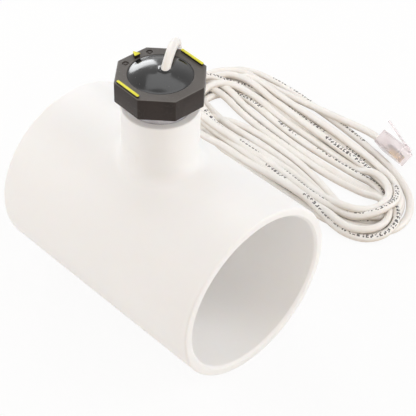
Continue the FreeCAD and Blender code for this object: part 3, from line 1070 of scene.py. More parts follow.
@dataclass
class SwitchHead:
    """The moulded switch body: octagonal head with raised marks, threaded stem and clevis.

    Attributes:
        flats: Width of the head across its flats.
        head_height: Height of the head.
        turn: Turn of the head about the branch, in degrees.
        corner: Radius of the upright corners.
        edge: Radius of the top and bottom edges.
        cup_bore: Bore of the cup that holds the potting.
        cup_floor: Thickness of the cup's floor.
        well_bore: Bore of the well below the cup.
        well_floor: Thickness of the well's floor.
        thread_od: Outside diameter of the thread.
        thread_pitch: Pitch of the thread.
        thread_depth: Depth of its grooves.
        thread_start: Height over which the thread rises out of the neck.
        neck_od: Outside diameter of the neck.
        bar: Length, width and height of a raised bar.
        bar_inset: Distance of a bar from the flat.
        arrow: Length, width and height of the arrowhead.
        arrow_inset: Distance of its tip from the flat.
        pit: Diameter and depth of the two round pits.
        pit_place: Their distance from the flat, and from the middle.
        pit_edge: Width of a pit's sloping edge.
        button: Radius, edge width and share of the depth of the raised middle of a pit.
        ear: Width, inner face and outer face of a clevis ear.
        pivot_drop: Height of the neck's end above the pin.
        stem_z: Height of the neck's end.
        lip: Radius of the cup's edge.
        mark_round: Corner radius of a bar and of the arrowhead.
        coat: Thickness of the paint's skirt below the top of a mark.
    """

    flats: float = 29.7
    head_height: float = 8.0
    turn: float = -3.0
    corner: float = 0.7
    edge: float = 0.35
    cup_bore: float = 22.2
    cup_floor: float = 1.6
    well_bore: float = 13.0
    well_floor: float = 4.0
    thread_od: float = 20.3
    thread_pitch: float = 1.81
    thread_depth: float = 0.8
    thread_start: float = 2.0
    neck_od: float = 17.0
    bar: Triple = (10.9, 1.0, 0.9)
    bar_inset: float = 0.5
    arrow: Triple = (2.8, 2.6, 1.4)
    arrow_inset: float = 0.2
    pit: Pair = (2.4, 0.4)
    pit_place: Pair = (2.9, 5.2)
    pit_edge: float = 0.22
    button: Triple = (0.42, 0.24, 0.75)
    ear: Triple = (8.0, 4.25, 6.8)
    pivot_drop: float = 6.0
    stem_z: float = 62.0
    lip: float = 0.2
    mark_round: Pair = (0.35, 0.3)
    coat: float = 0.24

    def __post_init__(self) -> None:
        """Takes the heights from the frame."""
        low, high = box_mm("thread_tape")
        self.thread_z = low[2]
        self.head_z = high[2] + 0.5
        self.top_z = self.head_z + self.head_height
        self.cup_z = self.head_z + self.cup_floor

    def outline(self) -> Array:
        """The head's rounded octagon, with evenly spaced points on its flats.

        Returns:
            Points of the outline, counter-clockwise.
        """
        radius = self.flats / 2 / math.cos(math.pi / 8)
        angle = math.pi / 8 + np.arange(8) * math.pi / 4
        x, y = radius * np.cos(angle), radius * np.sin(angle)
        corners = np.column_stack([x, y, np.full(8, self.corner)])
        arcs = rounded_line(corners.tolist(), steps=8, closed=True).reshape(8, 9, 2)
        share = np.linspace(0, 1, 62)[None, 1:-1, None]
        flat = arcs[:, -1:] + (np.roll(arcs, -1, axis=0)[:, :1] - arcs[:, -1:]) * share
        return np.concatenate([arcs, flat], axis=1).reshape(-1, 2)

    def pits(self, points: Array) -> Array:
        """Depth of the two round pits at points of the top: a ring groove about a raised middle.

        Args:
            points: Points of the head's top.

        Returns:
            The depth at each point.
        """
        x = -self.flats / 2 + self.pit_place[0]
        off = np.hypot(points[..., 0] - x, np.abs(points[..., 1]) - self.pit_place[1])
        rim = 1 - smooth((off - self.pit[0] / 2 + self.pit_edge) / self.pit_edge)
        radius, edge, share = self.button
        button = 1 - smooth((off - radius) / edge)
        return self.pit[1] * (rim - share * button)

    def head(self) -> Patch:
        """The head as one closed ring: underside, flats, top with its pits, and the cup's wall.

        The rows run from the stem outwards under the head, up the flats, and in over the top. On
        the underside and the top they pass from the octagon to a circle in equal steps.

        Returns:
            The patch.
        """
        outline = self.outline()
        around = unit(outline)
        stem, cup = self.thread_od / 2 - 0.2, self.cup_bore / 2
        rim = outline - outward(outline) * self.edge
        share = np.linspace(0, 1, 6)[:-1, None, None]
        under = around * stem + (rim - around * stem) * share
        levels = edge_levels(self.head_z, self.top_z, self.edge, self.edge)
        inward = np.linspace(0, 1, 30)[1:, None, None]
        top = rim + (around * (cup + self.lip) - rim) * inward
        quarter = np.linspace(0, math.pi / 2, 5)[1:]
        lip = [cup, self.top_z] + self.lip * np.stack([1 - np.sin(quarter), np.cos(quarter) - 1], 1)
        inside = np.concatenate([lip, [[cup, self.cup_z], [stem, self.cup_z], [stem, self.head_z]]])
        rows = [
            raised(under, np.full((1, 1), self.head_z)),
            loft(outline, levels),
            raised(top, self.top_z - self.pits(top)),
            carried(inside, around),
        ]
        edges = (levels[:, 1] > 0.02).astype(float)
        worn = [np.zeros(len(under)), edges, np.zeros(len(top) + len(inside))]
        return Patch(np.concatenate(rows), wear=np.concatenate(worn))

    def stem(self) -> Patch:
        """The stem with its thread and neck, and the well inside it.

        The thread's radius falls below its crest by a rounded groove that winds once round for each
        pitch of height.

        Returns:
            The patch.
        """
        count = 120
        angle = even_angles(count)
        low = self.thread_z
        neck, well = self.neck_od / 2, self.well_bore / 2
        end = self.stem_z
        corners = [(0.5, end, 0), (neck, end, 0.4), (neck, low, 0.2), (neck + 0.6, low, 0)]
        foot = rounded_line(corners, steps=4, closed=False)
        heights = np.linspace(low, self.head_z + 0.5, 110)[:, None]
        phase = 2 * math.pi * heights / self.thread_pitch - angle[None]
        fade = smooth((heights - low) / self.thread_start)
        groove = 0.5 - 0.5 * np.cos(phase)
        radius = self.thread_od / 2 - self.thread_depth * (1 - (1 - groove ** 2) * fade)
        ridges = round_axis(radius, angle, heights)
        top, bottom = self.cup_z - 0.05, end + self.well_floor
        inside = np.array([(9.6, top), (well, top), (well, bottom), (0.5, bottom)])
        points = np.concatenate([turned(foot, count), ridges, turned(inside, count)])
        return Patch(points, capped=True)

    def ears(self) -> List[Patch]:
        """The two clevis ears: plates with a round end about the pin.

        Returns:
            One patch for each ear.
        """
        half = self.ear[0] / 2
        pivot = self.stem_z - self.pivot_drop
        angle = np.linspace(math.pi, 2 * math.pi, 25)
        end = np.stack([half * np.cos(angle), pivot + half * np.sin(angle)], axis=1)
        top = self.stem_z + 0.6
        outline = np.concatenate([end, [[half, top], [-half, top]]])
        plate = loft(outline, edge_levels(self.ear[1], self.ear[2], 0.3, 0.3))
        x, z, y = np.moveaxis(plate, 2, 0)
        return [
            Patch(np.stack([x, side * y, z], axis=2), capped=True) for side in (-1, 1)
        ]

    def mark_outlines(self) -> List[Tuple[Array, float]]:
        """The outlines of the two bars and the arrowhead, each with its height.

        Returns:
            Outlines, counter-clockwise, and heights.
        """
        edge = self.flats / 2
        half = self.bar[0] / 2
        outer = edge - self.bar_inset
        inner = outer - self.bar[1]
        bars = [
            [(-half, low), (half, low), (half, high), (-half, high)]
            for low, high in ((-outer, -inner), (inner, outer))
        ]
        tip = -edge + self.arrow_inset
        base, wing = tip + self.arrow[0], self.arrow[1] / 2
        arrow = [(tip, 0.0), (base, -wing), (base, wing)]
        bar_round, arrow_round = self.mark_round
        kinds = [(bar, bar_round, self.bar[2]) for bar in bars]
        kinds.append((arrow, arrow_round, self.arrow[2]))
        return [
            (rounded_line([(x, y, radius) for x, y in corners], steps=6, closed=True), height)
            for corners, radius, height in kinds
        ]

    def build(self) -> List[Piece]:
        """Builds the switch body and the paint on its marks.

        Returns:
            The body and the paint.
        """
        shapes = {"body": [self.head(), self.stem(), *self.ears()], "paint": []}
        for outline, height in self.mark_outlines():
            top = self.top_z + height
            rib = edge_levels(self.top_z - 0.3, top - self.coat / 2, 0.0, 0.25)
            shapes["body"].append(Patch(loft(outline, rib), capped=True))
            skin = edge_levels(top - self.coat, top, 0.05, 0.2) - np.array([0, 0.02])
            worn = np.clip(skin[:, 1] / 0.2, 0, 1)
            shapes["paint"].append(Patch(loft(outline, skin), capped=True, wear=worn))
        body, paint = MeshBuilder("switch_body"), MeshBuilder("flow_mark_paint_coat")
        for builder, patches in ((body, shapes["body"]), (paint, shapes["paint"])):
            for patch in patches:
                patch.points = turn_about_z(patch.points, self.turn)
                builder.add(patch)
        return [
            seat(body.build(PALETTE.head), "black_moulding", "switch_housing"),
            seat(paint.build(PALETTE.marks), "yellow_paint", "flow_mark_paint"),
        ]


@dataclass
class Potting:
    """The glossy potting compound, which fills the well and the cup and stands up as a dome.

    Attributes:
        radius: Radius of the cup.
        rise: Height of the crown above the head's top.
        sink: Depth of the dome's edge below the head's top.
        well: Radius of the well.
        creep: Height to which the compound creeps up the cable, and how soon that falls off.
        climb: Height to which it creeps up the cup's wall, and how soon that falls off.
        swell: Height of the slow waves of its surface.
        still: Distance from the wall at which those waves are full.
        gap: Play between the compound and the cup.
        grid: Rows from the middle of the dome to its edge, and columns round it.
    """

    radius: float = 11.1
    rise: float = 2.2
    sink: float = 0.3
    well: float = 6.5
    creep: Pair = (0.55, 0.45)
    climb: Pair = (0.22, 0.35)
    swell: float = 0.05
    still: float = 3.0
    gap: float = 0.02
    grid: Tuple[int, int] = (60, 160)

    def build(self, head: SwitchHead, cable_foot: Array, cable_radius: float) -> Piece:
        """Builds the dome: a sphere's cap with a creeping edge at the wall and round the cable.

        The cap falls below the crown by R - sqrt(R squared - r squared). The creep falls off as an
        exponential of the distance from the wall or from the cable.

        Args:
            head: The head that holds it.
            cable_foot: Where the cable leaves the dome, x and y.
            cable_radius: The cable's radius.

        Returns:
            The potting.
        """
        rows, count = self.grid
        depth = self.rise + self.sink
        ball = (self.radius ** 2 + depth ** 2) / (2 * depth)
        reach = np.linspace(0.12, self.radius, rows)
        dome = turned(np.stack([reach, np.full(rows, head.top_z + self.rise)], axis=1), count)
        x, y = dome[..., 0], dome[..., 1]
        fall = ball - np.sqrt(ball ** 2 - reach ** 2)
        from_cable = np.hypot(x - cable_foot[0], y - cable_foot[1]) - cable_radius
        creep = self.creep[0] * np.exp(-np.maximum(from_cable, 0) / self.creep[1])
        from_wall = self.radius - reach
        climb = self.climb[0] * np.exp(-from_wall / self.climb[1])
        swell = self.swell * np.sin(x * 0.55 + 0.6) * np.cos(y * 0.48 - 0.4)
        dome[..., 2] += creep + (climb - fall)[:, None]
        dome[..., 2] += swell * np.minimum(1, from_wall / self.still)[:, None]
        low = head.stem_z + head.well_floor + self.gap
        shelf = head.cup_z + self.gap
        well = self.well - self.gap
        sides = np.array([(self.radius, shelf), (self.well, shelf), (well, low), (0.4, low)])
        points = np.concatenate([dome, turned(sides, count)])
        builder = MeshBuilder("potting_resin").add(Patch(points, capped=True))
        return seat(builder.build(PALETTE.potting), "black_potting", "potting_dome")


@dataclass
class Tape:
    """Sealing tape wound on the thread, seen as a pale ring under the head.

    Attributes:
        radius: Outside radius of the tape.
        wall: Thickness of the tape.
        pitch: Pitch of the thread under it.
        ridge: Height of the thread's ridges through the tape.
        crease: Depth of its creases.
        ragged: Waves of the upper edge: height, number round the ring, and start.
        edge_drop: How far the upper edge lies below the ring's top.
    """

    radius: float = 10.38
    wall: float = 0.2
    pitch: float = 1.81
    ridge: float = 0.16
    crease: float = 0.03
    ragged: Sequence[Triple] = ((0.18, 5, 0.7), (0.12, 13, 0), (0.08, 29, 2))
    edge_drop: float = 0.3

    def build(self) -> Piece:
        """Builds the tape as a thin ring whose outside follows the thread's ridges.

        The radius falls by the ridge's height between turns of the thread, and the upper edge is
        uneven by a few waves round the ring.

        Returns:
            The tape.
        """
        low, high = box_mm("thread_tape")
        angle = even_angles(180)
        ragged = sum(size * np.sin(number * angle + start) for size, number, start in self.ragged)
        share = np.linspace(0, 1, 90)[:, None]
        height = low[2] + (high[2] - self.edge_drop + ragged - low[2]) * share
        groove = 0.5 - 0.5 * np.cos(2 * math.pi * height / self.pitch - angle)
        crease = self.crease * np.sin(7 * angle + 9 * height) * np.sin(3 * angle - 4 * height)
        outside = round_axis(self.radius - self.ridge * groove ** 2 - np.abs(crease), angle, height)
        inside = round_axis(self.radius - self.ridge - self.wall, angle, height)
        loop = np.concatenate([outside, inside[::-1], outside[:1]])
        builder = MeshBuilder("tape_wrap").add(Patch(loop))
        return seat(builder.build(PALETTE.tape), "sealing_tape", "thread_tape")


@dataclass
class Hank:
    """The loose hank of cable: turns between an inner and an outer loop, which lie on each other.

    Attributes:
        inner: The inner loop, clockwise from its left end, as points on the floor.
        outer: The outer loop, likewise.
        through: Turns with one run in the eye: two with the run behind, two with the run in front.
        lanes: Places for a turn between the two loops.
        order: The turns as they follow: lanes counted from the inner loop, then those in the eye.
        per_turn: Points in a turn.
        diameter: Diameter of the cable.
        layer: Height of the upper layer of turns above the lower.
        sway: How far a turn strays from its lane.
        pass_on: Share of a turn over which it passes on to the next.
        last: Share of the last turn that is laid before the cable leaves for the plug.
        passes: Passes in which the turns settle.
        bend: Radius that the tightest bends open towards as they settle.
        hold: How strongly a turn is held to its lane in each pass.
        ease: How strongly a tight bend opens in each pass.
        relax: How strongly the line straightens in each pass.
        fall: How far the turns sink in each pass.
        chords: Half chords, in points, over which the bends are measured.
        search: How far off a neighbour is looked for, in diameters.
        search_every: Passes between two searches.
        search_from: Points along the cable that are no neighbours of each other.
    """

    inner: Loop = (
        (-72.6, 95.4), (-68.9, 104.2), (-59.5, 107.9), (-48, 107), (-36, 105.2), (-22, 103.8),
        (-8, 103.2), (2, 103.4), (9.5, 104.2), (17.6, 104.4), (27, 100.8), (31.2, 91.8), (27, 82.8),
        (17.6, 79.2), (7, 80.6), (-4, 82.6), (-18, 84.4), (-32, 84.8), (-44, 84.2), (-51.5, 83.3),
        (-59.5, 82.9), (-68.9, 86.6),
    )
    outer: Loop = (
        (-85, 97.5), (-84.2, 106), (-81.4, 115), (-75.5, 122.6), (-66, 126), (-52, 127),
        (-34, 126.2), (-16, 124.4), (2, 121.6), (16, 118.2), (28, 113), (36.5, 105.8), (41.2, 96),
        (40, 86), (33, 78.2), (20, 74), (4, 74.2), (-14, 75.2), (-34, 74.4), (-52, 76.2), (-66, 81),
        (-78.4, 88.2),
    )
    through: Sequence[Loop] = (
        (
            (-82.4, 91.6), (-79.4, 100.6), (-69.5, 104.6), (-56, 103), (-42, 101), (-27, 99.8),
            (-11, 98.8), (2, 98.6), (12, 99.6), (22, 100.4), (33, 98.6), (41, 91), (40.2, 80.8),
            (31, 74), (18, 73.6), (3, 74.8), (-14, 75.6), (-32, 75.2), (-47, 75.4), (-60, 76),
            (-71, 78.4), (-79.4, 83.4),
        ),
        (
            (-81, 88.4), (-78.6, 96.6), (-69.5, 101), (-56, 99.6), (-42, 97.4), (-27, 96.2),
            (-11, 95.2), (2, 95.4), (12, 96.8), (20.6, 98.2), (30.6, 97), (38.4, 89.8),
            (37.6, 80.6), (29, 74.8), (17, 75), (3, 77.2), (-14, 78.8), (-32, 78.4), (-46, 77.4),
            (-58, 76.6), (-69, 77.2), (-77.8, 81.4),
        ),
        (
            (-81, 104), (-78.6, 112.6), (-71, 118.2), (-60, 119), (-46, 118), (-30, 117),
            (-14, 115.6), (2, 113.8), (14, 111.8), (25.8, 108), (34.6, 101), (35.8, 91.2),
            (29.4, 84), (18.6, 83.8), (6.5, 87.6), (-8, 91), (-22, 92.6), (-36, 93.2), (-50, 93.4),
            (-62, 93), (-71.5, 92.8), (-78, 96.6),
        ),
        (
            (-79, 101), (-77.4, 109.6), (-70, 114.8), (-59, 114.8), (-46, 113), (-30, 111.2),
            (-14, 110), (2, 109), (13, 108.2), (23.8, 105.8), (32.2, 99.2), (33.8, 89.6),
            (27.2, 81.4), (16, 80.2), (5, 83.6), (-8, 86.8), (-22, 88.6), (-36, 89.2), (-50, 89.2),
            (-61, 88.4), (-70, 88.6), (-76.4, 93),
        ),
    )
    lanes: int = 7
    order: Sequence[int] = (6, 0, 2, 7, 8, 10, 9, 4, 1, 3, 5)
    per_turn: int = 90
    diameter: float = 3.2
    layer: float = 2.5
    sway: float = 0.7
    pass_on: float = 0.22
    last: float = 0.2
    passes: int = 320
    bend: float = 12.8
    hold: float = 0.12
    ease: float = 0.25
    relax: float = 0.05
    fall: float = 0.04
    chords: Tuple[int, int] = (3, 5)
    search: float = 1.5
    search_every: int = 5
    search_from: int = 7

    def loop(self, points: Loop) -> Array:
        """A closed smooth loop through points, by cubic steps between each two.

        Args:
            points: Points on the floor.

        Returns:
            Points of one turn.
        """
        table = np.array(points, float)
        count = len(table)
        place = np.linspace(0, count, self.per_turn, endpoint=False)
        index = place.astype(int)
        share = (place - index)[:, None]
        a, b, c, d = (table[(index + k) % count] for k in (-1, 0, 1, 2))
        square = 2 * a - 5 * b + 4 * c - d
        cube = -a + 3 * b - 3 * c + d
        return 0.5 * (2 * b + (c - a) * share + square * share ** 2 + cube * share ** 3)

    def height(self, turn: int, behind: Array) -> Array:
        """Height of a turn: lanes in two layers by turns, and the rest on the floor in the eye.

        Args:
            turn: Which turn it is.
            behind: 1 on the run behind and 0 on the run in front.

        Returns:
            Heights in millimetres.
        """
        raised = np.full_like(behind, turn % 2)
        if turn >= self.lanes:
            raised = 1 - behind if turn < self.lanes + 2 else behind
        return self.diameter / 2 + self.layer * raised

    def laid(self) -> Array:
        """The turns as they are laid, one after the other.

        A lane is a share of the way from the inner loop to the outer one. Each turn strays by two
        waves, and passes on to the next turn over the last part of its way round.

        Returns:
            Points of the hank in millimetres.
        """
        phase = np.arange(self.per_turn) / self.per_turn
        across = np.sin(2 * math.pi * phase)
        behind = smooth(1.92 * across)
        first, final = self.loop(self.inner), self.loop(self.outer)
        share = np.arange(self.lanes)[:, None, None] / (self.lanes - 1)
        crossing = np.stack([self.loop(turn) for turn in self.through])
        loops = np.concatenate([first + (final - first) * share, crossing])
        start = np.random.default_rng(3).uniform(0, 2 * math.pi, (len(self.order), 3, 1))
        stray = np.sin(4 * math.pi * phase + start[:, 0])
        stray = stray + 0.6 * np.sin(6 * math.pi * phase + start[:, 1])
        flat = loops[list(self.order)]
        flat[:, :, 1] += self.sway * stray * across ** 2
        height = np.stack([self.height(turn, behind) for turn in self.order])
        turns = raised(flat, height)
        following = np.concatenate([turns[1:], turns[-1:]])
        pass_on = smooth((phase - (1 - self.pass_on)) / self.pass_on)[:, None]
        points = (turns * (1 - pass_on) + following * pass_on).reshape(-1, 3)
        return points[: len(points) - int(self.per_turn * (1 - self.last))]

    def pushed(self, points: Array, one: Array, other: Array) -> Array:
        """How far each point moves off the points of other turns that it lies in.

        Two points nearer than a diameter each move half of what is missing, straight apart.

        Args:
            points: Points of the hank.
            one: Index of the first point of each pair of neighbours.
            other: Index of the second point.

        Returns:
            The move of each point.
        """
        gap = points[one] - points[other]
        distance = np.linalg.norm(gap, axis=1) + TINY_GAP
        close = distance < self.diameter
        push = (0.5 * (self.diameter - distance[close]) / distance[close])[:, None] * gap[close]
        moved = np.zeros_like(points)
        touches = np.zeros(len(points))
        for index, sign in ((one[close], 1), (other[close], -1)):
            np.add.at(moved, index, sign * push)
            np.add.at(touches, index, 1)
        return moved / np.maximum(1, 0.6 * touches)[:, None]

    def eased(self, points: Array, reach: int) -> Array:
        """How far each point moves to open the bends that are too tight.

        Over a chord, a bend of the limit's radius bows by the radius less the root of its square
        less the half chord's square. Where the line bows more, its middle moves in and its ends
        move out.

        Args:
            points: Points of the hank.
            reach: Points from the middle of the chord to its ends.

        Returns:
            The move of each point.
        """
        before, middle, after = points[:-2 * reach], points[reach:-reach], points[2 * reach:]
        half = np.minimum(0.5 * np.linalg.norm(after - before, axis=1), 0.95 * self.bend)
        bow = 0.5 * (before + after) - middle
        depth = np.linalg.norm(bow, axis=1) + TINY_GAP
        most = self.bend - np.sqrt(self.bend ** 2 - half ** 2)
        part = (self.ease * np.maximum(depth - most, 0) / depth)[:, None] * bow
        moved = np.zeros_like(points)
        moved[reach:-reach] += part
        moved[:-2 * reach] -= 0.5 * part
        moved[2 * reach:] -= 0.5 * part
        return moved

    def settled(self) -> Array:
        """The turns once they lie on each other: pushed apart, eased, and drawn down to the floor.

        Returns:
            Points of the hank in millimetres.
        """
        points = self.laid()
        home = points[:, :2].copy()
        for step in range(self.passes):
            if step % self.search_every == 0:
                apart = ((points[:, None] - points[None]) ** 2).sum(axis=2)
                near = apart < (self.search * self.diameter) ** 2
                one, other = np.nonzero(np.triu(near, self.search_from))
            points += self.pushed(points, one, other)
            points[1:-1] += self.relax * (0.5 * (points[:-2] + points[2:]) - points[1:-1])
            for reach in self.chords:
                points += self.eased(points, reach)
            points[:, :2] += self.hold * (home - points[:, :2])
            points[:, 2] = np.maximum(points[:, 2] - self.fall, self.diameter / 2)
        return points


@dataclass
class Cable:
    """The cream cable: up out of the potting, down to the floor, round the hank and to the plug.

    Attributes:
        lead: Points from the potting to the hank, in metres.
        tail: Points from the hank to the plug, in metres.
        diameter: Diameter of the jacket in millimetres.
        length: Real length in metres.
        sides: Sides of the tube.
        every: Points of the settled hank for each control point.
        exit_z: Height at which it leaves the potting, in metres.
        lean: A leaning upright that the cable is never in line with.
    """

    lead: Sequence[Triple] = (
        (0.0032, -0.0027, 0.0908), (0.0032, -0.0027, 0.0998), (-0.0002, 0.0040, 0.1068),
        (-0.0070, 0.0134, 0.1051), (-0.0117, 0.0190, 0.0979), (-0.0150, 0.0225, 0.0805),
        (-0.0260, 0.0320, 0.0560), (-0.0400, 0.0425, 0.0290), (-0.0530, 0.0490, 0.0065),
        (-0.0650, 0.0540, 0.00175), (-0.0760, 0.0605, 0.0017), (-0.0835, 0.0695, 0.00175),
        (-0.0865, 0.0805, 0.0017), (-0.0853, 0.0920, 0.00175),
    )
    tail: Sequence[Triple] = (
        (-0.0270, 0.1244, 0.0036), (-0.0140, 0.1256, 0.0046), (-0.00099, 0.12661, 0.00547),
        (0.00989, 0.12498, 0.00547),
    )
    diameter: float = 3.2
    length: float = 2.9
    sides: int = 16
    every: int = 3
    exit_z: float = 0.1026
    lean: Triple = (0.36, 0.2, 0.91)

    def route(self) -> Array:
        """The centre line of the cable, read from one smooth curve through its control points.

        Returns:
            Points in metres.
        """
        hank = Hank(diameter=self.diameter).settled()[:: self.every] * MM
        points = np.concatenate([np.array(self.lead), hank, np.array(self.tail)])
        curve = bpy.data.curves.new("cable_route", "CURVE")
        curve.dimensions = "3D"
        curve.resolution_u = 4
        spline = curve.splines.new("NURBS")
        spline.points.add(len(points) - 1)
        spline.points.foreach_set("co", np.column_stack([points, np.ones(len(points))]).ravel())
        spline.order_u = 3
        spline.use_endpoint_u = True
        holder = bpy.data.objects.new("cable_route", curve)
        line = bpy.data.meshes.new_from_object(holder)
        found = np.empty(len(line.vertices) * 3)
        line.vertices.foreach_get("co", found)
        bpy.data.objects.remove(holder)
        bpy.data.curves.remove(curve)
        bpy.data.meshes.remove(line)
        return found.reshape(-1, 3)

    def tube(self, path: Array) -> Patch:
        """A round tube along a path.

        Each ring stands square to the path on two axes: the path's way crossed with the leaning
        upright, and that axis crossed with the way.

        Args:
            path: Points in metres.

        Returns:
            The patch, with metres along the cable and turns round it as its texture coordinates.
        """
        way = unit(np.gradient(path, axis=0))
        side = unit(np.cross(way, np.array(self.lean)))
        up = np.cross(side, way)
        angle = even_angles(self.sides)
        cos, sin = np.cos(angle)[None, :, None], np.sin(angle)[None, :, None]
        ring = side[:, None] * cos + up[:, None] * sin
        points = path[:, None] / MM + ring * (self.diameter / 2)
        along = np.concatenate([[0], np.cumsum(step_lengths(path))])
        turns = np.arange(self.sides + 1) / self.sides
        uv = np.stack(np.broadcast_arrays(along[:, None], turns[None]), axis=2)
        return Patch(points, capped=True, uv=uv)

    def foot(self, path: Array) -> Array:
        """Where the cable leaves the potting, x and y in metres."""
        return path[np.argmax(path[:, 2] > self.exit_z), :2]

    def build(self, path: Array, on_it: Sequence[str]) -> Piece:
        """Args:
            path: The cable's centre line in metres.
            on_it: Names of the nodes on its far end; not used.

        Returns:
            The cable.
        """
        made = MeshBuilder("cable").add(self.tube(path)).build(PALETTE.jacket)
        seat(made, "cable_jacket", "cable_lead", "cable_hank", "cable_tail")
        log.info("cable is %.3f m long", step_lengths(path).sum())
        return made


NODE_FINISHES: Dict[str, Finish] = {
    "plug_body": PALETTE.plug,
    "plug_latch": PALETTE.plug,
    "plug_strain_bar": PALETTE.plug,
    "plug_contacts": PALETTE.gold,
    "plug_wire_black": PALETTE.wire_black,
    "plug_wire_red": PALETTE.wire_red,
    "plug_wire_green": PALETTE.wire_green,
    "plug_wire_yellow": PALETTE.wire_yellow,
    "paddle": PALETTE.paddle,
    "paddle_magnet": PALETTE.nickel,
    "return_magnet": PALETTE.nickel,
    "pivot_pin": PALETTE.steel,
    "reed_glass": PALETTE.glass,
    "reed_blade_upper": PALETTE.reed,
    "reed_blade_lower": PALETTE.reed,
    "solder_sleeves": PALETTE.sleeve,
    "head_wire_red": PALETTE.wire_red,
    "head_wire_green": PALETTE.wire_green,
}
PLUG_NODES = tuple(name for name in NODE_FINISHES if name.startswith("plug_"))


def dress_nodes() -> None:
    """Gives the finish of its kind to each node that stays in view."""
    made = {finish.name: finish.material() for finish in dict.fromkeys(NODE_FINISHES.values())}
    for name, finish in NODE_FINISHES.items():
        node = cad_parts[name]
        if not node.material_slots:
            node.data.materials.append(made[finish.name])
        for place in node.material_slots:
            place.material = made[finish.name]
        log.info("%s: dressed as %s", name, finish.name)


@dataclass(frozen=True)
class Softbox:
    """A soft studio lamp.

    Attributes:
        name: The lamp's name.
        place: Where it stands, in metres.
        size: Its width and height in metres.
        power: Its power in watts.
        tint: Its colour.
    """

    name: str
    place: Triple
    size: Pair
    power: float
    tint: Colour = (0.97, 0.985, 1.0)

    def build(self, target: Vector) -> Piece:
        """Stands the lamp in the scene, facing a point.

        Args:
            target: The point that it faces.

        Returns:
            The lamp.
        """
        lamp = bpy.data.lights.new(self.name, "AREA")
        lamp.shape = "RECTANGLE"
        lamp.size, lamp.size_y = self.size
        lamp.energy = self.power
        lamp.color = self.tint
        made = placed(self.name, lamp)
        made.location = self.place
        made.rotation_euler = (target - Vector(self.place)).to_track_quat("-Z", "Y").to_euler()
        return made


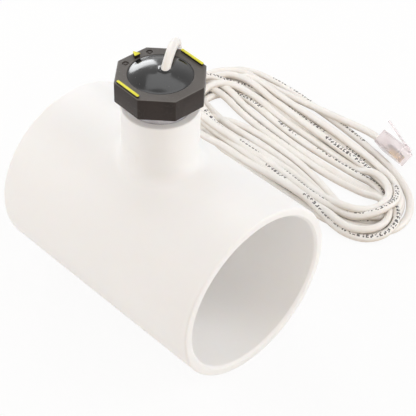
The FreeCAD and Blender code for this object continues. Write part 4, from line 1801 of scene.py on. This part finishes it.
@dataclass(frozen=True)
class Studio:
    """The pale floor, the soft light and the camera.

    Attributes:
        floor_size: Half width of the floor in metres.
        floor_colour: Colour of the floor.
        white_share: How much of the floor is plain white to the camera.
        far_light: Light from the far side of the room.
        near_light: Warmer light from the side where the camera stands.
        near_side: The way to that side.
        ramp: How far along that way the light starts to change, and where it has changed.
        lens: Focal length in millimetres on a sensor 36 mm wide.
        place: Where the camera stands, in metres.
        angles: Its azimuth, elevation and roll in degrees.
        target: The point that the lamps face.
        lamps: The lamps.
    """

    floor_size: float = 4.0
    floor_colour: Colour = (0.9, 0.89, 0.88)
    white_share: float = 0.9
    far_light: Colour = (0.24, 0.24, 0.24)
    near_light: Colour = (0.90, 0.83, 0.76)
    near_side: Triple = (0.69, -0.71, 0.15)
    ramp: Pair = (-0.3, 0.8)
    lens: float = 113.99
    place: Triple = (0.25775, -0.23962, 0.36064)
    angles: Triple = (44.311, 42.153, 1.815)
    target: Triple = (0.0, 0.03, 0.05)
    lamps: Tuple[Softbox, ...] = (
        Softbox("window_behind_left", (-0.67, 0.34, 0.31), (0.32, 0.20), 1.4),
        Softbox("box_right", (0.52, 0.50, 0.42), (0.50, 0.40), 2.35),
        Softbox("box_left", (-0.55, -0.42, 0.40), (0.50, 0.40), 1.75),
        Softbox("strip_over", (-0.13, 0.23, 0.70), (0.55, 0.32), 0.95),
    )

    def seen_share(self, kit: ShaderKit) -> Socket:
        """1 for rays from the camera, a mirror or a clear piece, and 0 for the rest."""
        path = kit.node("ShaderNodeLightPath").outputs
        mirrored = kit.math("MAXIMUM", path["Is Glossy Ray"], path["Is Transmission Ray"])
        return kit.math("MAXIMUM", path["Is Camera Ray"], mirrored)

    def floor(self) -> Piece:
        """Lays the floor: white to the camera, with the object's shadow.

        Returns:
            The floor.
        """
        made = bpy.data.materials.new("pale_floor")
        kit = blank_kit(made)
        matt = kit.node("ShaderNodeBsdfDiffuse", {"Color": self.floor_colour}).outputs[0]
        white = kit.node("ShaderNodeEmission", {"Color": (1, 1, 1), "Strength": 1.0}).outputs[0]
        share = kit.product(self.seen_share(kit), self.white_share)
        both = kit.node("ShaderNodeMixShader", {0: share, 1: matt, 2: white}).outputs[0]
        kit.node("ShaderNodeOutputMaterial", {"Surface": both})
        size = self.floor_size
        mesh = bpy.data.meshes.new("floor")
        corners = [(-size, -size, 0), (size, -size, 0), (size, size, 0), (-size, size, 0)]
        mesh.from_pydata(corners, [], [(0, 1, 2, 3)])
        mesh.materials.append(made)
        laid = placed("floor", mesh)
        return laid

    def surroundings(self) -> None:
        """Sets the world: white where it is seen, else a light that is warmer near the camera."""
        world = bpy.data.worlds.new("studio")
        kit = blank_kit(world)
        way = kit.node("ShaderNodeTexCoord").outputs["Generated"]
        dot = kit.node("ShaderNodeVectorMath", {0: way, 1: self.near_side}, operation="DOT_PRODUCT")
        share = kit.span(dot.outputs["Value"], *self.ramp, 0.0, 1.0)
        soft = kit.mix(share, self.far_light, self.near_light)
        even = kit.node("ShaderNodeBackground", {"Color": soft, "Strength": 1.0}).outputs[0]
        white = kit.node("ShaderNodeBackground", {"Color": (1, 1, 1), "Strength": 1.0}).outputs[0]
        seen = self.seen_share(kit)
        both = kit.node("ShaderNodeMixShader", {0: seen, 1: even, 2: white}).outputs[0]
        kit.node("ShaderNodeOutputWorld", {"Surface": both})
        bpy.context.scene.world = world

    def camera(self) -> Piece:
        """Stands the camera at the photograph's place and angle.

        Returns:
            The camera.
        """
        azimuth, elevation, roll = (math.radians(a) for a in self.angles)
        right = Vector((math.cos(azimuth), math.sin(azimuth), 0))
        flat = math.cos(elevation)
        back = Vector((math.sin(azimuth) * flat, -math.cos(azimuth) * flat, math.sin(elevation)))
        up = back.cross(right)
        across = math.cos(roll) * right + math.sin(roll) * up
        upright = math.cos(roll) * up - math.sin(roll) * right
        lens = bpy.data.cameras.new("camera")
        lens.lens = self.lens
        lens.sensor_width = 36.0
        lens.clip_start = 0.01
        made = placed("camera", lens)
        turn = Matrix((across, upright, back)).transposed().to_4x4()
        made.matrix_world = Matrix.Translation(self.place) @ turn
        bpy.context.scene.camera = made
        return made

    def build(self) -> None:
        """Sets up floor, world, lamps, camera and colour view."""
        self.floor()
        self.surroundings()
        for lamp in self.lamps:
            lamp.build(Vector(self.target))
        self.camera()
        bpy.context.scene.view_settings.view_transform = "Standard"


def main() -> None:
    """Builds the studio, then the object's pieces in order."""
    logging.basicConfig(level=logging.INFO, format="%(name)s: %(message)s")
    Studio().build()
    cable = Cable()
    path = cable.route()
    cable.build(path, PLUG_NODES)
    PipeTee().build()
    head = SwitchHead()
    head.build()
    Potting().build(head, cable.foot(path) / MM, cable.diameter / 2)
    Tape().build()
    dress_nodes()


if __name__ == "__main__":
    main()
